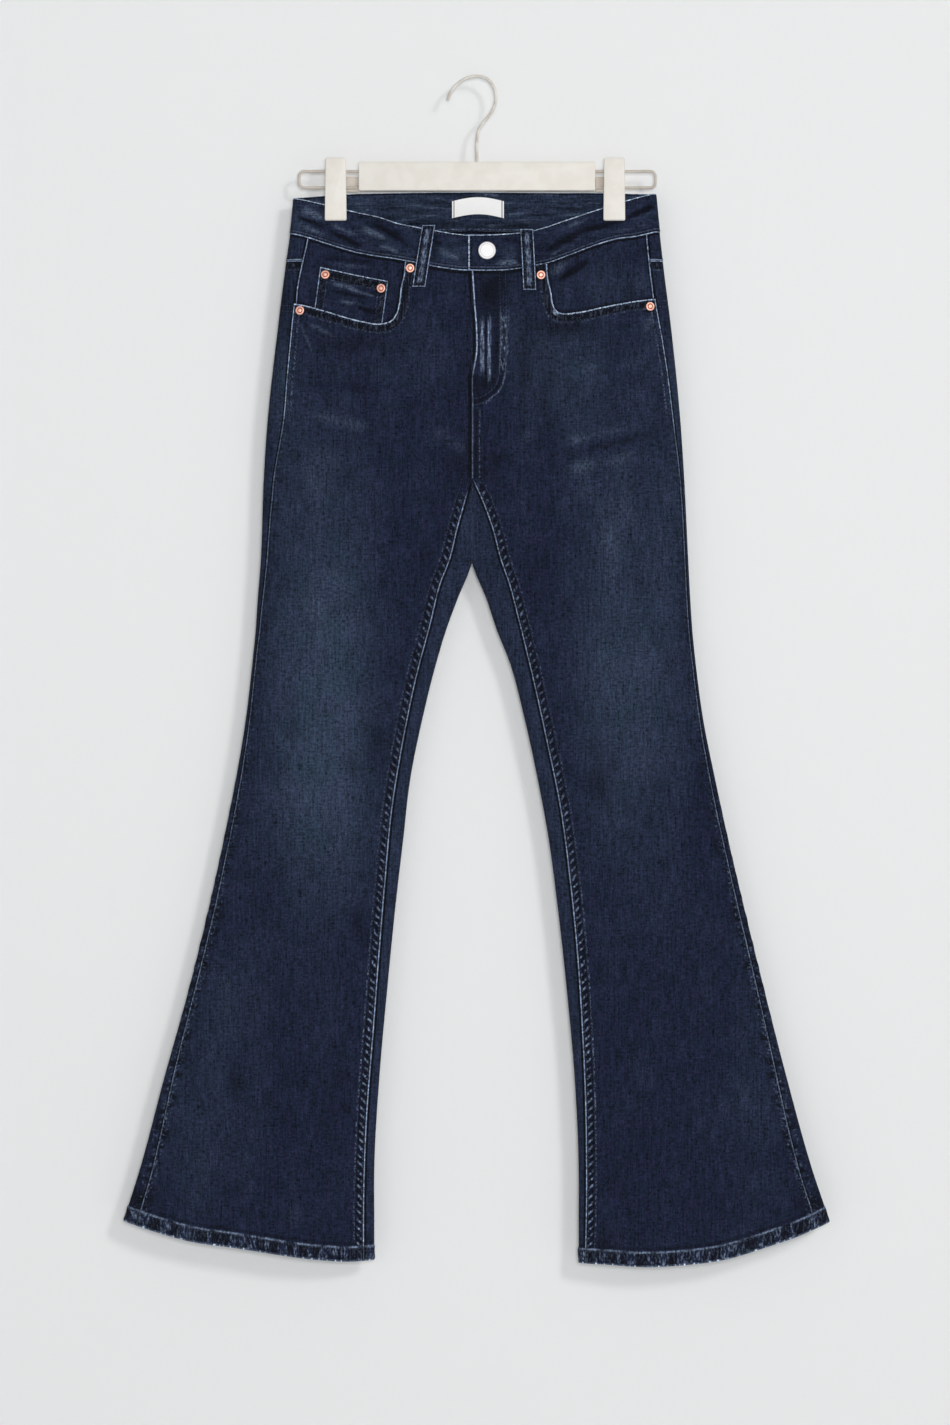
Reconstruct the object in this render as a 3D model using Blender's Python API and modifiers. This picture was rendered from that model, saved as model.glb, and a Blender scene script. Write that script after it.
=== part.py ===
"""Low-rise bootcut jeans, clipped by the waistband to a plain hanger.

Run with: blender --background --python part.py
Lengths below are millimetres. "below" is the drop under the point the hanger
hangs from, and "reach" the distance from the middle seam of the jeans.
Left and right are the viewer's. +X is right, -Y the front and +Z up.
Each half of the cloth is a loop of angle tau: 0 is the inner fold of the leg,
a quarter turn the front, half a turn the outer fold, and then the back.
"""

import math

import bmesh
import bpy
import numpy as np
from mathutils import Matrix, Vector

MM = 0.001
SIDES = {"left": -1.0, "right": 1.0}

# Cloth and seams
CLOTH = 1.2
BAND_CLOTH = 1.6
LOOP_CLOTH = 1.6
FACING_CLOTH = 1.0
LABEL_CLOTH = 1.0
SEAM = 0.3
MIDDLE_X = -5.0
BLUNT = 0.75  # under 1, the side folds are rounder than an ellipse's

# Levels of the garment
STRAIGHT = 254.0  # rows above this follow the waist, and rows below are level
CROTCH = 402.0
FORK = 486.0
FLARE = 1094.0  # rows below this follow the hem
HIDDEN_HEM_DROP = 1.5

# Hanger
WIRE_RADIUS = 1.5
LOOP_WIRE_RADIUS = 1.4
BAR = {"left": -118.5, "right": 118.5, "top": 85.0, "bottom": 114.0, "depth": 10.0}
WIRE_LOOP = {"left": -178.3, "right": 178.9, "top": 94.0, "bottom": 110.5, "corner": 5.0}
CLIP_MIDDLE = {"left": -141.5, "right": 137.5}
CLIP_BLOCK_END = {"left": -119.0, "right": 119.0}
CLIP_WIDTH = 20.5
CLIP_TOP = 81.0
CLIP_BOTTOM = 144.0
CLIP_PLATE = 4.4
CLIP_JAW = 2.2  # from the middle of the cloth to the plate
CLIP_BLOCK = {"top": 88.0, "bottom": 114.6, "outer": 9.0}
PINCH_FLAT = 13.0
PINCH_WIDTH = 46.0
PINCH_END = 250.0
PINCHED = 1.9


def table(names, *rows):
    """Columns by name, from one row of numbers for each section."""
    columns = np.array(rows, dtype=float).T
    return dict(zip(names.split(), columns))


SECTIONS = table(
    "below left_side right_side left_inner right_inner front_bow back_bow middle",
    (112, 178, 184, 0, 0, 25, 8, 0),
    (154, 182, 188, 0, 0, 27, 9, 0),
    (190, 187, 192, 0, 0, 27, 11, 0),
    (254, 195, 200, 0, 0, 25, 14, 1),
    (344, 205, 209, 0, 0, 21, 15, 2),
    (404, 209, 213, 0, 0, 19, 14, 3),
    (486, 212, 217, 0, 0, 17, 13, 3),
    (524, 215, 219, 15, 15, 16, 13, 3),
    (554, 217, 221, 26, 25, 15.5, 12.5, 3),
    (584, 220, 224, 35, 37, 15, 12, 3),
    (644, 227, 232, 50, 53, 14, 11.5, 3),
    (704, 237, 244, 62, 66, 13, 11, 3),
    (764, 249, 257, 69, 77, 12.5, 11, 3),
    (824, 262, 271, 76, 85, 12.5, 11, 3),
    (914, 284, 293, 85, 95, 13, 11.5, 3),
    (1004, 309, 316, 93, 103, 14.5, 12.5, 3),
    (1094, 333, 341, 98, 107, 16, 13.5, 3),
    (1147, 349.5, 358.5, 98, 107, 17, 14, 3),
    (1190, 361, 370, 98, 107, 17, 14, 3),
)

# How far the side seam lies in from the outline, and the inner seam's reach
SEAMS = table(
    "below left_inset right_inset left_inseam right_inseam",
    (112, 19, 12, 0, 0),
    (160, 17.5, 12.5, 0, 0),
    (211, 14, 13, 0, 0),
    (295, 15, 8.5, 0, 0),
    (340, 16, 7, 0, 0),
    (402, 10, 4, 0, 0),
    (420, 9, 3.5, 5, 8),
    (452, 7, 3, 14, 20),
    (484, 6, 3, 22, 28.5),
    (507, 5.5, 3, 31, 36.5),
    (543, 4, 3, 40, 46),
    (600, 3, 3, 55, 60),
    (668, 4, 4, 69, 75),
    (732, 5, 5, 79.5, 88),
    (812, 5.5, 5.5, 87, 98.5),
    (964, 7, 8, 99, 110.5),
    (1043, 10.5, 11.5, 105, 113.5),
    (1106, 13, 13.5, 107.5, 114),
    (1190, 14, 14, 108, 113),
)

# The front waistband's upper edge and the seam under it, by reach
WAIST_FRONT = table(
    "reach left_top left_seam right_top right_seam",
    (0, 160, 196, 160, 196),
    (7, 159.9, 195.9, 160, 196),
    (35, 156, 192.5, 159, 195.5),
    (60, 151.5, 187.5, 156, 191.5),
    (77, 148, 184.5, 151.5, 188),
    (97, 141, 181, 144.5, 180.5),
    (122, 134.5, 175, 135, 170),
    (147, 128.5, 167.5, 127, 162.5),
    (167, 124.5, 161.5, 121.5, 160),
    (187, 121, 157, 117, 156),
)
WAIST_BACK = table(
    "reach left_top left_seam right_top right_seam",
    (0, 114.3, 153, 114.3, 153),
    (60, 114.8, 154, 114.8, 154),
    (120, 116.5, 156, 115.5, 155),
    (187, 121, 157, 117, 156),
)
YOKE_SIDE = 184.0
YOKE_MIDDLE = 211.0

# The bottom edge, from the inner fold of the leg to the outer
HEM_LINE = table(
    "share left right",
    (0, 1185, 1188),
    (0.1, 1186, 1189),
    (0.25, 1183, 1191),
    (0.4, 1177.5, 1189),
    (0.55, 1171.5, 1184),
    (0.7, 1166.5, 1173.5),
    (0.85, 1157, 1161.5),
    (1, 1146, 1147),
)

# Soft folds: the face's angle at both ends, its spread and its height
FOLD_COLUMNS = "side top bottom tau_top tau_bottom spread height"
FOLDS = (
    ("left", 640, 1260, 1.35, 1.10, 0.20, 2.6),
    ("left", 780, 1260, 1.90, 2.05, 0.16, -2.4),
    ("left", 300, 620, 1.95, 1.75, 0.22, 1.8),
    ("left", 820, 1260, 4.20, 4.45, 0.22, 3.0),
    ("left", 700, 1260, 5.25, 5.10, 0.20, -2.4),
    ("right", 640, 1260, 1.30, 1.15, 0.20, 2.4),
    ("right", 800, 1260, 1.95, 2.10, 0.17, -2.6),
    ("right", 310, 640, 2.05, 1.80, 0.22, 2.0),
    ("right", 820, 1260, 4.25, 4.40, 0.22, 2.8),
    ("right", 720, 1260, 5.20, 5.05, 0.20, -2.4),
)

# Pocket mouths, from the waist seam round to the side seam: x and below
MOUTHS = {
    "left": (
        (-71.5, 176), (-72, 190), (-73, 200), (-76, 212), (-78, 229), (-81, 239),
        (-86, 245.5), (-94, 248), (-118, 245), (-149, 236), (-174, 229), (-196, 226),
    ),
    "right": (
        (69.5, 178), (70, 192), (71, 204), (74, 217), (76, 229), (79, 235.5),
        (85, 238), (99, 237), (128, 231), (159, 225), (175, 223), (196, 221),
    ),
}
MOUTH_TOP = 120.0
FACING_RECESS = {"left": 2.8, "right": 1.5}
FACING_INNER = {"left": -58.0, "right": 56.0}
FACING_BOTTOM = 268.0
COIN_RECESS = 1.5
COIN_CORNERS = {"top_outer": (-157, 190), "top_inner": (-89, 206),
                "bottom_outer": (-165, 250), "bottom_inner": (-96, 260)}

# Belt loops: face, x and below at the upper end, then at the lower end
BELT_LOOPS = {
    "front_left": ("front", -48, 150.5, -58, 212),
    "front_right": ("front", 49.5, 154.5, 52.5, 215),
    "back_left": ("back", -100, 117.5, -102, 177),
    "back_middle": ("back", MIDDLE_X, 117, MIDDLE_X, 176),
    "back_right": ("back", 90, 117.5, 92, 177),
}
BELT_LOOP_WIDTH = 13.0
BELT_LOOP_STAND = 2.4

# Patch pockets on the back, by reach
PATCH = {"inner": 34.0, "outer": 162.0, "top": 226.0, "side": 352.0, "point": 372.0}

LABEL = {"left": -25.0, "right": 27.0, "top": 121.0, "bottom": 142.0}

BUTTON_AT = (10.0, 176.0)
BUTTON_RADIUS = 8.3
RIVET_RADIUS = 4.4
# Rivets: x, below and how deep the cloth they sit on lies
RIVETS = {
    "coin_outer": (-152, 198, COIN_RECESS),
    "coin_inner": (-96, 213, COIN_RECESS),
    "left_outer": (-177, 234.5, 0),
    "left_inner": (-66.6, 193.3, 0),
    "right_inner": (63.8, 200, 0),
    "right_outer": (173, 230.5, 0),
}

HOOK_PATH = (
    (-29.5, 23), (-26, 14), (-18.5, 5.5), (-9.5, 0.2), (0, -1.5), (9, 0.6), (16, 8),
    (19, 19), (16.5, 31), (9, 42), (2.5, 51), (0, 62), (0, 84.7),
)

INDIGO = (0.018, 0.026, 0.058, 1)
DARK_INDIGO = (0.012, 0.018, 0.040, 1)
CREAM = (0.76, 0.72, 0.65, 1)
BEIGE = (0.50, 0.46, 0.40, 1)
COPPER = (0.55, 0.22, 0.13, 1)
SILVER = (0.72, 0.71, 0.70, 1)
WHITE = (0.85, 0.85, 0.84, 1)


def clear_scene():
    for thing in list(bpy.data.objects):
        bpy.data.objects.remove(thing, do_unlink=True)


def collection(name):
    group = bpy.data.collections.new(name)
    bpy.context.scene.collection.children.link(group)
    return group


def material(name, colour, roughness=0.85, metallic=0.0):
    look = bpy.data.materials.new(name)
    look.use_nodes = True
    shader = look.node_tree.nodes["Principled BSDF"]
    shader.inputs["Base Color"].default_value = colour
    shader.inputs["Roughness"].default_value = roughness
    shader.inputs["Metallic"].default_value = metallic
    return look


def add(name, mesh, look, group):
    thing = bpy.data.objects.new(name, mesh)
    thing.data.materials.append(look)
    group.objects.link(thing)
    return thing


def ease(share):
    """0 to 1 with soft ends."""
    share = np.clip(share, 0.0, 1.0)
    return share * share * (3.0 - 2.0 * share)


def read(rows, column, where):
    """A smooth curve through one column of a table, read at where."""
    keys = rows[next(iter(rows))]
    values = rows[column]
    slopes = np.gradient(values, keys)
    where = np.clip(where, keys[0], keys[-1])
    low = np.clip(np.searchsorted(keys, where, side="right") - 1, 0, len(keys) - 2)
    step = keys[low + 1] - keys[low]
    share = (where - keys[low]) / step
    ends = values[low] * (1 + 2 * share) + slopes[low] * step * share
    other = values[low + 1] * (3 - 2 * share) - slopes[low + 1] * step * (1 - share)
    return ends * (1 - share) ** 2 + other * share**2


def section(side, below, cut=SEAM / 2):
    """Middle reach, half width and front opening angle of the loop at a level."""
    outer = read(SECTIONS, f"{side}_side", below)
    inner = np.maximum(read(SECTIONS, f"{side}_inner", below), cut)
    inner = np.where(below < FORK, cut, inner)
    rise = np.clip((FORK - below) / (FORK - STRAIGHT), 0.0, 1.0)
    opening = np.pi / 2 * np.sqrt(1.0 - (1.0 - rise) ** 2)
    half = (outer - inner) / (1.0 + np.cos(opening))
    return outer - half, half, opening


def folds(side, tau, below):
    """How far the soft folds push the cloth out."""
    push = np.zeros(np.broadcast(tau, below).shape)
    for fold in FOLDS:
        fold = dict(zip(FOLD_COLUMNS.split(), fold))
        if fold["side"] != side:
            continue
        share = (below - fold["top"]) / (fold["bottom"] - fold["top"])
        ridge = fold["tau_top"] + (fold["tau_bottom"] - fold["tau_top"]) * share
        across = np.exp(-(((tau - ridge) / fold["spread"]) ** 2))
        push += fold["height"] * across * ease(share * 2.0) * ease((1.0 - share) * 4.0)
    return push


def pinch(x, below):
    """1 between the jaws of a clip, 0 away from them."""
    near = np.minimum(abs(x - CLIP_MIDDLE["left"]), abs(x - CLIP_MIDDLE["right"]))
    across = 1.0 - ease((near - PINCH_FLAT) / PINCH_WIDTH)
    down = 1.0 - ease((below - CLIP_BOTTOM - 2.0) / (PINCH_END - CLIP_BOTTOM))
    return across * down


def surface(side, tau, below, cut=SEAM / 2):
    """Points of the cloth's outer face, in millimetres."""
    middle_reach, half, _ = section(side, below, cut)
    x = MIDDLE_X + SIDES[side] * (middle_reach - half * np.cos(tau))
    sine = np.sin(tau)
    front = sine > 0
    bow = np.where(front, read(SECTIONS, "front_bow", below), read(SECTIONS, "back_bow", below))
    out = (bow + folds(side, tau % (2 * np.pi), below)) * abs(sine) ** BLUNT
    held = np.minimum(out, PINCHED)
    out = out + (held - out) * pinch(x, below)
    y = read(SECTIONS, "middle", below) + np.where(front, -out, out)
    return np.stack(np.broadcast_arrays(x, y, -below), axis=-1)


def outward(side, tau, below, cut=SEAM / 2):
    """Unit vectors out of the cloth."""
    step = 0.004
    across = surface(side, tau + step, below, cut) - surface(side, tau - step, below, cut)
    down = surface(side, tau, below + 0.5, cut) - surface(side, tau, below - 0.5, cut)
    normal = np.cross(across, down) * -SIDES[side]
    return normal / np.linalg.norm(normal, axis=-1, keepdims=True)


def tau_at(side, reach, below, cut=SEAM / 2):
    """The front face's angle at a reach."""
    middle_reach, half, _ = section(side, below, cut)
    return np.arccos(np.clip((middle_reach - reach) / half, -1.0, 1.0))


def along(side, tau, below, distance):
    """The angle a distance on from tau, round the loop."""
    step = 0.002
    gone = surface(side, tau + step, below) - surface(side, tau - step, below)
    return tau + distance * 2 * step / np.linalg.norm(gone, axis=-1)


def outseam(side, below, gap=0.0):
    edge = read(SECTIONS, f"{side}_side", below)
    tau = tau_at(side, edge - read(SEAMS, f"{side}_inset", below), below)
    return along(side, tau, below, gap)


def inseam(side, below, gap=0.0):
    """The inner seam, or the middle seam above the crotch."""
    tau = tau_at(side, read(SEAMS, f"{side}_inseam", below), below)
    return np.where(below > CROTCH, along(side, tau, below, gap), middle_front(side, below))


def middle_front(side, below):
    return section(side, below)[2] + 0.0 * below


def middle_back(side, below):
    return 2 * np.pi - middle_front(side, below)


def nominal_reach(side, tau):
    level = np.full(np.shape(tau), YOKE_SIDE)
    middle_reach, half, _ = section(side, level)
    return middle_reach - half * np.cos(tau)


def waist_line(side, tau, edge):
    """Level of the waistband's top or of the seam under it."""
    reach = abs(nominal_reach(side, tau))
    front = read(WAIST_FRONT, f"{side}_{edge}", reach)
    back = read(WAIST_BACK, f"{side}_{edge}", reach)
    return np.where(np.sin(tau) > 0, front, back)


def yoke_line(side, tau):
    share = nominal_reach(side, tau) / read(SECTIONS, f"{side}_side", YOKE_SIDE)
    level = YOKE_SIDE + (YOKE_MIDDLE - YOKE_SIDE) * (1.0 - np.clip(share, 0, 1))
    return np.where(np.sin(tau) > 0, YOKE_SIDE, level)


def hem_line(side, tau):
    level = read(HEM_LINE, side, (1.0 - np.cos(tau)) / 2)
    return level + HIDDEN_HEM_DROP * np.clip(-3 * np.sin(tau), 0, 1)


def between(upper, lower, share):
    """A row part of the way down from one line to another."""
    return lambda side, tau: upper(side, tau) * (1 - share) + lower(side, tau) * share


def level(below):
    return lambda side, tau: np.full(np.shape(tau), float(below))


LEG_LEVELS = (290, 330, 368, CROTCH, 418, 436, 460, FORK, 510, 540, 575, 615, 660, 710,
              765, 820, 880, 940, 1000, 1050, FLARE)
TOP_SHARES = (0.0, 0.2, 0.4, 0.6, 0.8, 1.0)
HEM_SHARES = (0.35, 0.7, 1.0)


def panel_rows(top):
    """Rows of a panel from its top line to the hem."""
    rows = [between(top, level(STRAIGHT), share) for share in TOP_SHARES]
    rows += [level(below) for below in LEG_LEVELS]
    rows += [between(level(FLARE), hem_line, share) for share in HEM_SHARES]
    return rows


def lattice(side, rows, shares, start, end, cut=SEAM / 2):
    """Angles and levels of a grid of points, a row for each line in rows."""
    taus, belows = [], []
    for row in rows:
        below = row(side, np.full(len(shares), math.pi))
        for _ in range(4):
            tau = start(side, below) * (1 - shares) + end(side, below) * shares
            below = row(side, tau)
        taus.append(tau)
        belows.append(below)
    return side, np.array(taus), np.array(belows), cut


def faces_of(grid, lift, thickness):
    """The outer and inner points of a grid's wall."""
    side, tau, below, cut = grid
    points = surface(side, tau, below, cut)
    normal = outward(side, tau, below, cut)
    lift = np.asarray(lift)[..., None]
    return points + normal * lift, points + normal * (lift - thickness)


def wall(name, sheets, look, group):
    """A closed wall from outer and inner points. Sheets that share points are one."""
    places, outer, inner, faces = {}, [], [], []
    for outs, ins in sheets:
        index = np.empty(outs.shape[:2], dtype=int)
        for place in np.ndindex(*index.shape):
            key = tuple(np.round(outs[place], 3))
            if key not in places:
                places[key] = len(outer)
                outer.append(outs[place])
                inner.append(ins[place])
            index[place] = places[key]
        for row in range(index.shape[0] - 1):
            for column in range(index.shape[1] - 1):
                ring = [index[row, column], index[row, column + 1],
                        index[row + 1, column + 1], index[row + 1, column]]
                ring = list(dict.fromkeys(ring))
                if len(ring) > 2:
                    faces.append(ring)
    edges = {(a, b) for ring in faces for a, b in zip(ring, ring[1:] + ring[:1])}
    count = len(outer)
    rim = [(b, a, a + count, b + count) for a, b in edges if (b, a) not in edges]
    inside = [[corner + count for corner in reversed(ring)] for ring in faces]
    mesh = bpy.data.meshes.new(name)
    mesh.from_pydata(np.array(outer + inner) * MM, [], faces + inside + rim)
    form = bmesh.new()
    form.from_mesh(mesh)
    bmesh.ops.recalc_face_normals(form, faces=form.faces)
    bmesh.ops.triangulate(form, faces=form.faces)
    form.to_mesh(mesh)
    form.free()
    return add(name, mesh, look, group)


def on_cloth(face, x, below):
    """Side, angle and level of points given by x, on the front or the back."""
    grids = []
    for side, sign in SIDES.items():
        tau = tau_at(side, (x - MIDDLE_X) * sign, below, 0.0)
        tau = tau if face == "front" else 2 * np.pi - tau
        grids.append((side, tau, below, 0.0))
    return grids


def patch(face, x, below, lift, thickness):
    """Outer and inner points of a piece that lies on the cloth."""
    left, right = (faces_of(grid, lift, thickness) for grid in on_cloth(face, x, below))
    on_right = (x > MIDDLE_X)[..., None]
    return tuple(np.where(on_right, b, a) for a, b in zip(left, right))


def quad_patch(corners, columns, rows):
    """x and below over a four-cornered patch: top outer, top inner, bottom outer, bottom inner."""
    across, down = np.meshgrid(np.linspace(0, 1, columns), np.linspace(0, 1, rows))
    top = [corners[0][i] * (1 - across) + corners[1][i] * across for i in (0, 1)]
    bottom = [corners[2][i] * (1 - across) + corners[3][i] * across for i in (0, 1)]
    return [top[i] * (1 - down) + bottom[i] * down for i in (0, 1)]


def prism(name, outline, group):
    """A cutter with an outline in x and below, right through the garment."""
    curve = bpy.data.curves.new(name, "CURVE")
    curve.dimensions = "2D"
    curve.fill_mode = "BOTH"
    curve.extrude = 0.08
    spline = curve.splines.new("POLY")
    spline.use_cyclic_u = True
    spline.points.add(len(outline) - 1)
    for point, (x, below) in zip(spline.points, outline):
        point.co = (x * MM, -below * MM, 0, 1)
    flat = bpy.data.objects.new(name, curve)
    group.objects.link(flat)
    depsgraph = bpy.context.evaluated_depsgraph_get()
    mesh = bpy.data.meshes.new_from_object(flat.evaluated_get(depsgraph))
    bpy.data.objects.remove(flat, do_unlink=True)
    form = bmesh.new()
    form.from_mesh(mesh)
    bmesh.ops.remove_doubles(form, verts=form.verts, dist=1e-6)
    bmesh.ops.transform(form, verts=form.verts, matrix=Matrix.Rotation(math.pi / 2, 4, "X"))
    bmesh.ops.recalc_face_normals(form, faces=form.faces)
    form.to_mesh(mesh)
    form.free()
    return as_cutter(bpy.data.objects.new(name, mesh), group)


def as_cutter(thing, group):
    group.objects.link(thing)
    thing.hide_render = True
    thing.display_type = "WIRE"
    return thing


def boolean(thing, cutter, operation):
    change = thing.modifiers.new(cutter.name, "BOOLEAN")
    change.operation = operation
    change.solver = "EXACT"
    change.object = cutter


FRONT_SHARES = np.array((0, 0.04, 0.1, 0.17, 0.25, 0.33, 0.41, 0.49, 0.57, 0.65, 0.73, 0.81, 0.88,
                         0.94, 0.98, 1))
FOLD_SHARES = np.array((0, 0.5, 0.8, 1))
BACK_SHARES = np.array((0, 0.03, 0.07, 0.13, 0.2, 0.3, 0.4, 0.5, 0.6, 0.7, 0.8, 0.88, 0.94, 0.98, 1))
STRIP_SHARES = np.array((0, 0.3, 0.65, 1))


def half_turn(side, below):
    return np.full(np.shape(below), math.pi)


def front_panel(side, group, cutters):
    def top(side, tau):
        return waist_line(side, tau, "seam") + SEAM / 2

    grid = lattice(
        side, panel_rows(top), FRONT_SHARES,
        lambda side, below: inseam(side, below, SEAM / 2),
        lambda side, below: outseam(side, below, -SEAM / 2),
    )
    look = material(f"denim front {side}", INDIGO)
    panel = wall(f"front_{side}", [faces_of(grid, 0.0, CLOTH)], look, group)
    mouth = list(MOUTHS[side])
    outline = mouth + [(mouth[-1][0], MOUTH_TOP), (mouth[0][0], MOUTH_TOP)]
    boolean(panel, prism(f"mouth_{side}", outline, cutters), "DIFFERENCE")


def back_panel(side, group):
    def top(side, tau):
        return yoke_line(side, tau) + SEAM / 2

    def end(side, below):
        return np.where(below >= FORK, 2 * np.pi, middle_back(side, below))

    def seam_start(side, below):
        return outseam(side, below, SEAM / 2)

    def strip_start(side, below):
        return np.where(below >= FORK, 2 * np.pi, 2 * np.pi + middle_front(side, below))

    def strip_end(side, below):
        return 2 * np.pi + np.where(
            below > CROTCH + 1, inseam(side, below, -SEAM / 2), middle_front(side, below)
        )

    rows = panel_rows(top)
    first = len(TOP_SHARES) + LEG_LEVELS.index(CROTCH) + 1
    strip_rows = [level(CROTCH + 2)] + rows[first:]
    grids = (
        lattice(side, rows, FOLD_SHARES, seam_start, half_turn),
        lattice(side, rows, BACK_SHARES, half_turn, end),
        lattice(side, strip_rows, STRIP_SHARES, strip_start, strip_end),
    )
    sheets = [faces_of(grid, 0.0, CLOTH) for grid in grids]
    wall(f"back_{side}", sheets, material(f"denim back {side}", INDIGO), group)


def yoke(side, group):
    def top(side, tau):
        return waist_line(side, tau, "seam") + SEAM / 2

    def bottom(side, tau):
        return yoke_line(side, tau) - SEAM / 2

    rows = [between(top, bottom, share) for share in (0.0, 0.33, 0.67, 1.0)]
    grids = (
        lattice(side, rows, FOLD_SHARES, lambda s, b: outseam(s, b, SEAM / 2), half_turn),
        lattice(side, rows, BACK_SHARES, half_turn, middle_back),
    )
    sheets = [faces_of(grid, 0.0, CLOTH) for grid in grids]
    wall(f"yoke_{side}", sheets, material(f"denim yoke {side}", INDIGO), group)


OVERLAP_REACH = 4.0
OVERLAP_SHARES = np.array((0, 1))


def waistband(group):
    """One band from the button end round the back to the buttonhole end."""
    def end_at(reach):
        return lambda side, below: tau_at(side, np.full(np.shape(below), reach), below, 0.0)

    def bottom(side, tau):
        return waist_line(side, tau, "seam") - SEAM / 2

    def top(side, tau):
        return waist_line(side, tau, "top")

    def back_end(side, below):
        return np.full(np.shape(below), 1.5 * math.pi)

    rows = [between(top, bottom, share) for share in (0.0, 0.25, 0.5, 0.75, 1.0)]
    sheets = []
    for side, sign in SIDES.items():
        start = end_at(-sign * OVERLAP_REACH + SEAM / 2)
        first = end_at(max(0.0, -sign * OVERLAP_REACH + SEAM / 2))
        grids = [lattice(side, rows, FRONT_SHARES, first, outseam, 0.0),
                 lattice(side, rows, FOLD_SHARES, outseam, half_turn, 0.0),
                 lattice(side, rows, BACK_SHARES, half_turn, back_end, 0.0)]
        if sign > 0:
            grids.append(lattice(side, rows, OVERLAP_SHARES, start, first, 0.0))
        for grid in grids:
            outs, ins = faces_of(grid, 0.0, BAND_CLOTH)
            turned = slice(None, None, int(sign))
            sheets.append((outs[:, turned], ins[:, turned]))
    wall("waistband", sheets, material("denim waistband", INDIGO), group)


def distance_to(path, x, below):
    """How far points lie from a path in x and below."""
    best = np.full(x.shape, 1e9)
    for (x0, b0), (x1, b1) in zip(path, path[1:]):
        span = (x1 - x0) ** 2 + (b1 - b0) ** 2
        share = np.clip(((x - x0) * (x1 - x0) + (below - b0) * (b1 - b0)) / span, 0, 1)
        best = np.minimum(best, np.hypot(x - x0 - share * (x1 - x0), below - b0 - share * (b1 - b0)))
    return best


def mouth_level(side, x):
    """The level of the mouth's lower stretch at x, or of its end beside it."""
    path = sorted(MOUTHS[side])
    return np.interp(x, [x for x, _ in path], [below for _, below in path])


def facing(side, group):
    """The cloth that shows in the pocket mouth, behind the front panel's edge."""
    sign = SIDES[side]
    across, down = np.meshgrid(np.linspace(0, 1, 13), np.linspace(0, 1, 11))
    below = np.full(across.shape, 200.0)
    for _ in range(4):
        outer = read(SECTIONS, f"{side}_side", below)
        outer = outer - read(SEAMS, f"{side}_inset", below) - 2 * SEAM
        x = (MIDDLE_X + sign * outer) * (1 - across) + FACING_INNER[side] * across
        tau = tau_at(side, (x - MIDDLE_X) * sign, below)
        top = waist_line(side, tau, "seam") + 1.5 * SEAM
        below = top * (1 - down) + FACING_BOTTOM * down
    inside = (abs(x) > abs(MOUTHS[side][0][0])) & (below < mouth_level(side, x))
    clear = np.where(inside, distance_to(MOUTHS[side], x, below), 0.0)
    edge = np.minimum(sign * (MIDDLE_X + sign * outer - x), below - top)
    sunk = np.maximum(ease(edge / 12.0), ease((16.0 - clear) / 12.0))
    lift = -FACING_RECESS[side] * sunk
    sheet = faces_of((side, tau, below, SEAM / 2), lift, FACING_CLOTH)
    wall(f"pocket_facing_{side}", [sheet], material(f"denim facing {side}", DARK_INDIGO), group)


def coin_pocket(group):
    x, below = quad_patch(list(COIN_CORNERS.values()), 8, 7)
    sheet = patch("front", x, below, -COIN_RECESS, FACING_CLOTH)
    wall("coin_pocket", [sheet], material("denim coin pocket", INDIGO), group)


def belt_loop(name, group):
    face, top_x, top, bottom_x, bottom = BELT_LOOPS[name]
    half = BELT_LOOP_WIDTH / 2
    corners = ((top_x - half, top), (top_x + half, top),
               (bottom_x - half, bottom), (bottom_x + half, bottom))
    x, below = quad_patch(corners, 4, 11)
    stand = BELT_LOOP_STAND * np.sin(np.pi * (below - top) / (bottom - top)) ** 0.6
    sheet = patch(face, x, below, SEAM + LOOP_CLOTH + np.maximum(stand, 0), LOOP_CLOTH)
    wall(f"belt_loop_{name}", [sheet], material(f"denim belt loop {name}", INDIGO), group)


def patch_pocket(side, group):
    across, down = np.meshgrid(np.linspace(0, 1, 11), np.linspace(0, 1, 9))
    x = MIDDLE_X + SIDES[side] * (PATCH["inner"] * (1 - across) + PATCH["outer"] * across)
    drop = (PATCH["point"] - PATCH["side"]) * (1 - abs(2 * across - 1))
    below = PATCH["top"] * (1 - down) + (PATCH["side"] + drop) * down
    sheet = patch("back", x, below, SEAM + CLOTH, CLOTH)
    wall(f"back_pocket_{side}", [sheet], material(f"denim back pocket {side}", INDIGO), group)


def label(group):
    corners = ((LABEL["left"], LABEL["top"]), (LABEL["right"], LABEL["top"]),
               (LABEL["left"], LABEL["bottom"]), (LABEL["right"], LABEL["bottom"]))
    x, below = quad_patch(corners, 9, 3)
    lift = -(BAND_CLOTH + SEAM) * np.ones(x.shape)
    sheet = patch("back", x, below, lift, LABEL_CLOTH)
    wall("label", [sheet], material("label", WHITE), group)


def turned(name, profile, at, sunk, look, group, steps=16):
    """A profile of radius and height, turned and set on the front cloth."""
    x = np.array([[float(at[0])]])
    below = np.array([[float(at[1])]])
    outer, inner = patch("front", x, below, SEAM - sunk, 1.0)
    seat, normal = Vector(outer[0, 0]), Vector(outer[0, 0] - inner[0, 0])
    mesh = bpy.data.meshes.new(name)
    points = [(radius * MM, 0, height * MM) for radius, height in profile]
    mesh.from_pydata(points, [(i, i + 1) for i in range(len(points) - 1)], [])
    thing = add(name, mesh, look, group)
    thing.location = seat * MM
    thing.rotation_mode = "QUATERNION"
    thing.rotation_quaternion = normal.to_track_quat("Z", "Y")
    screw = thing.modifiers.new("turn", "SCREW")
    screw.steps = screw.render_steps = steps
    screw.use_merge_vertices = True
    screw.merge_threshold = 0.00001
    screw.use_normal_calculate = True


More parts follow.
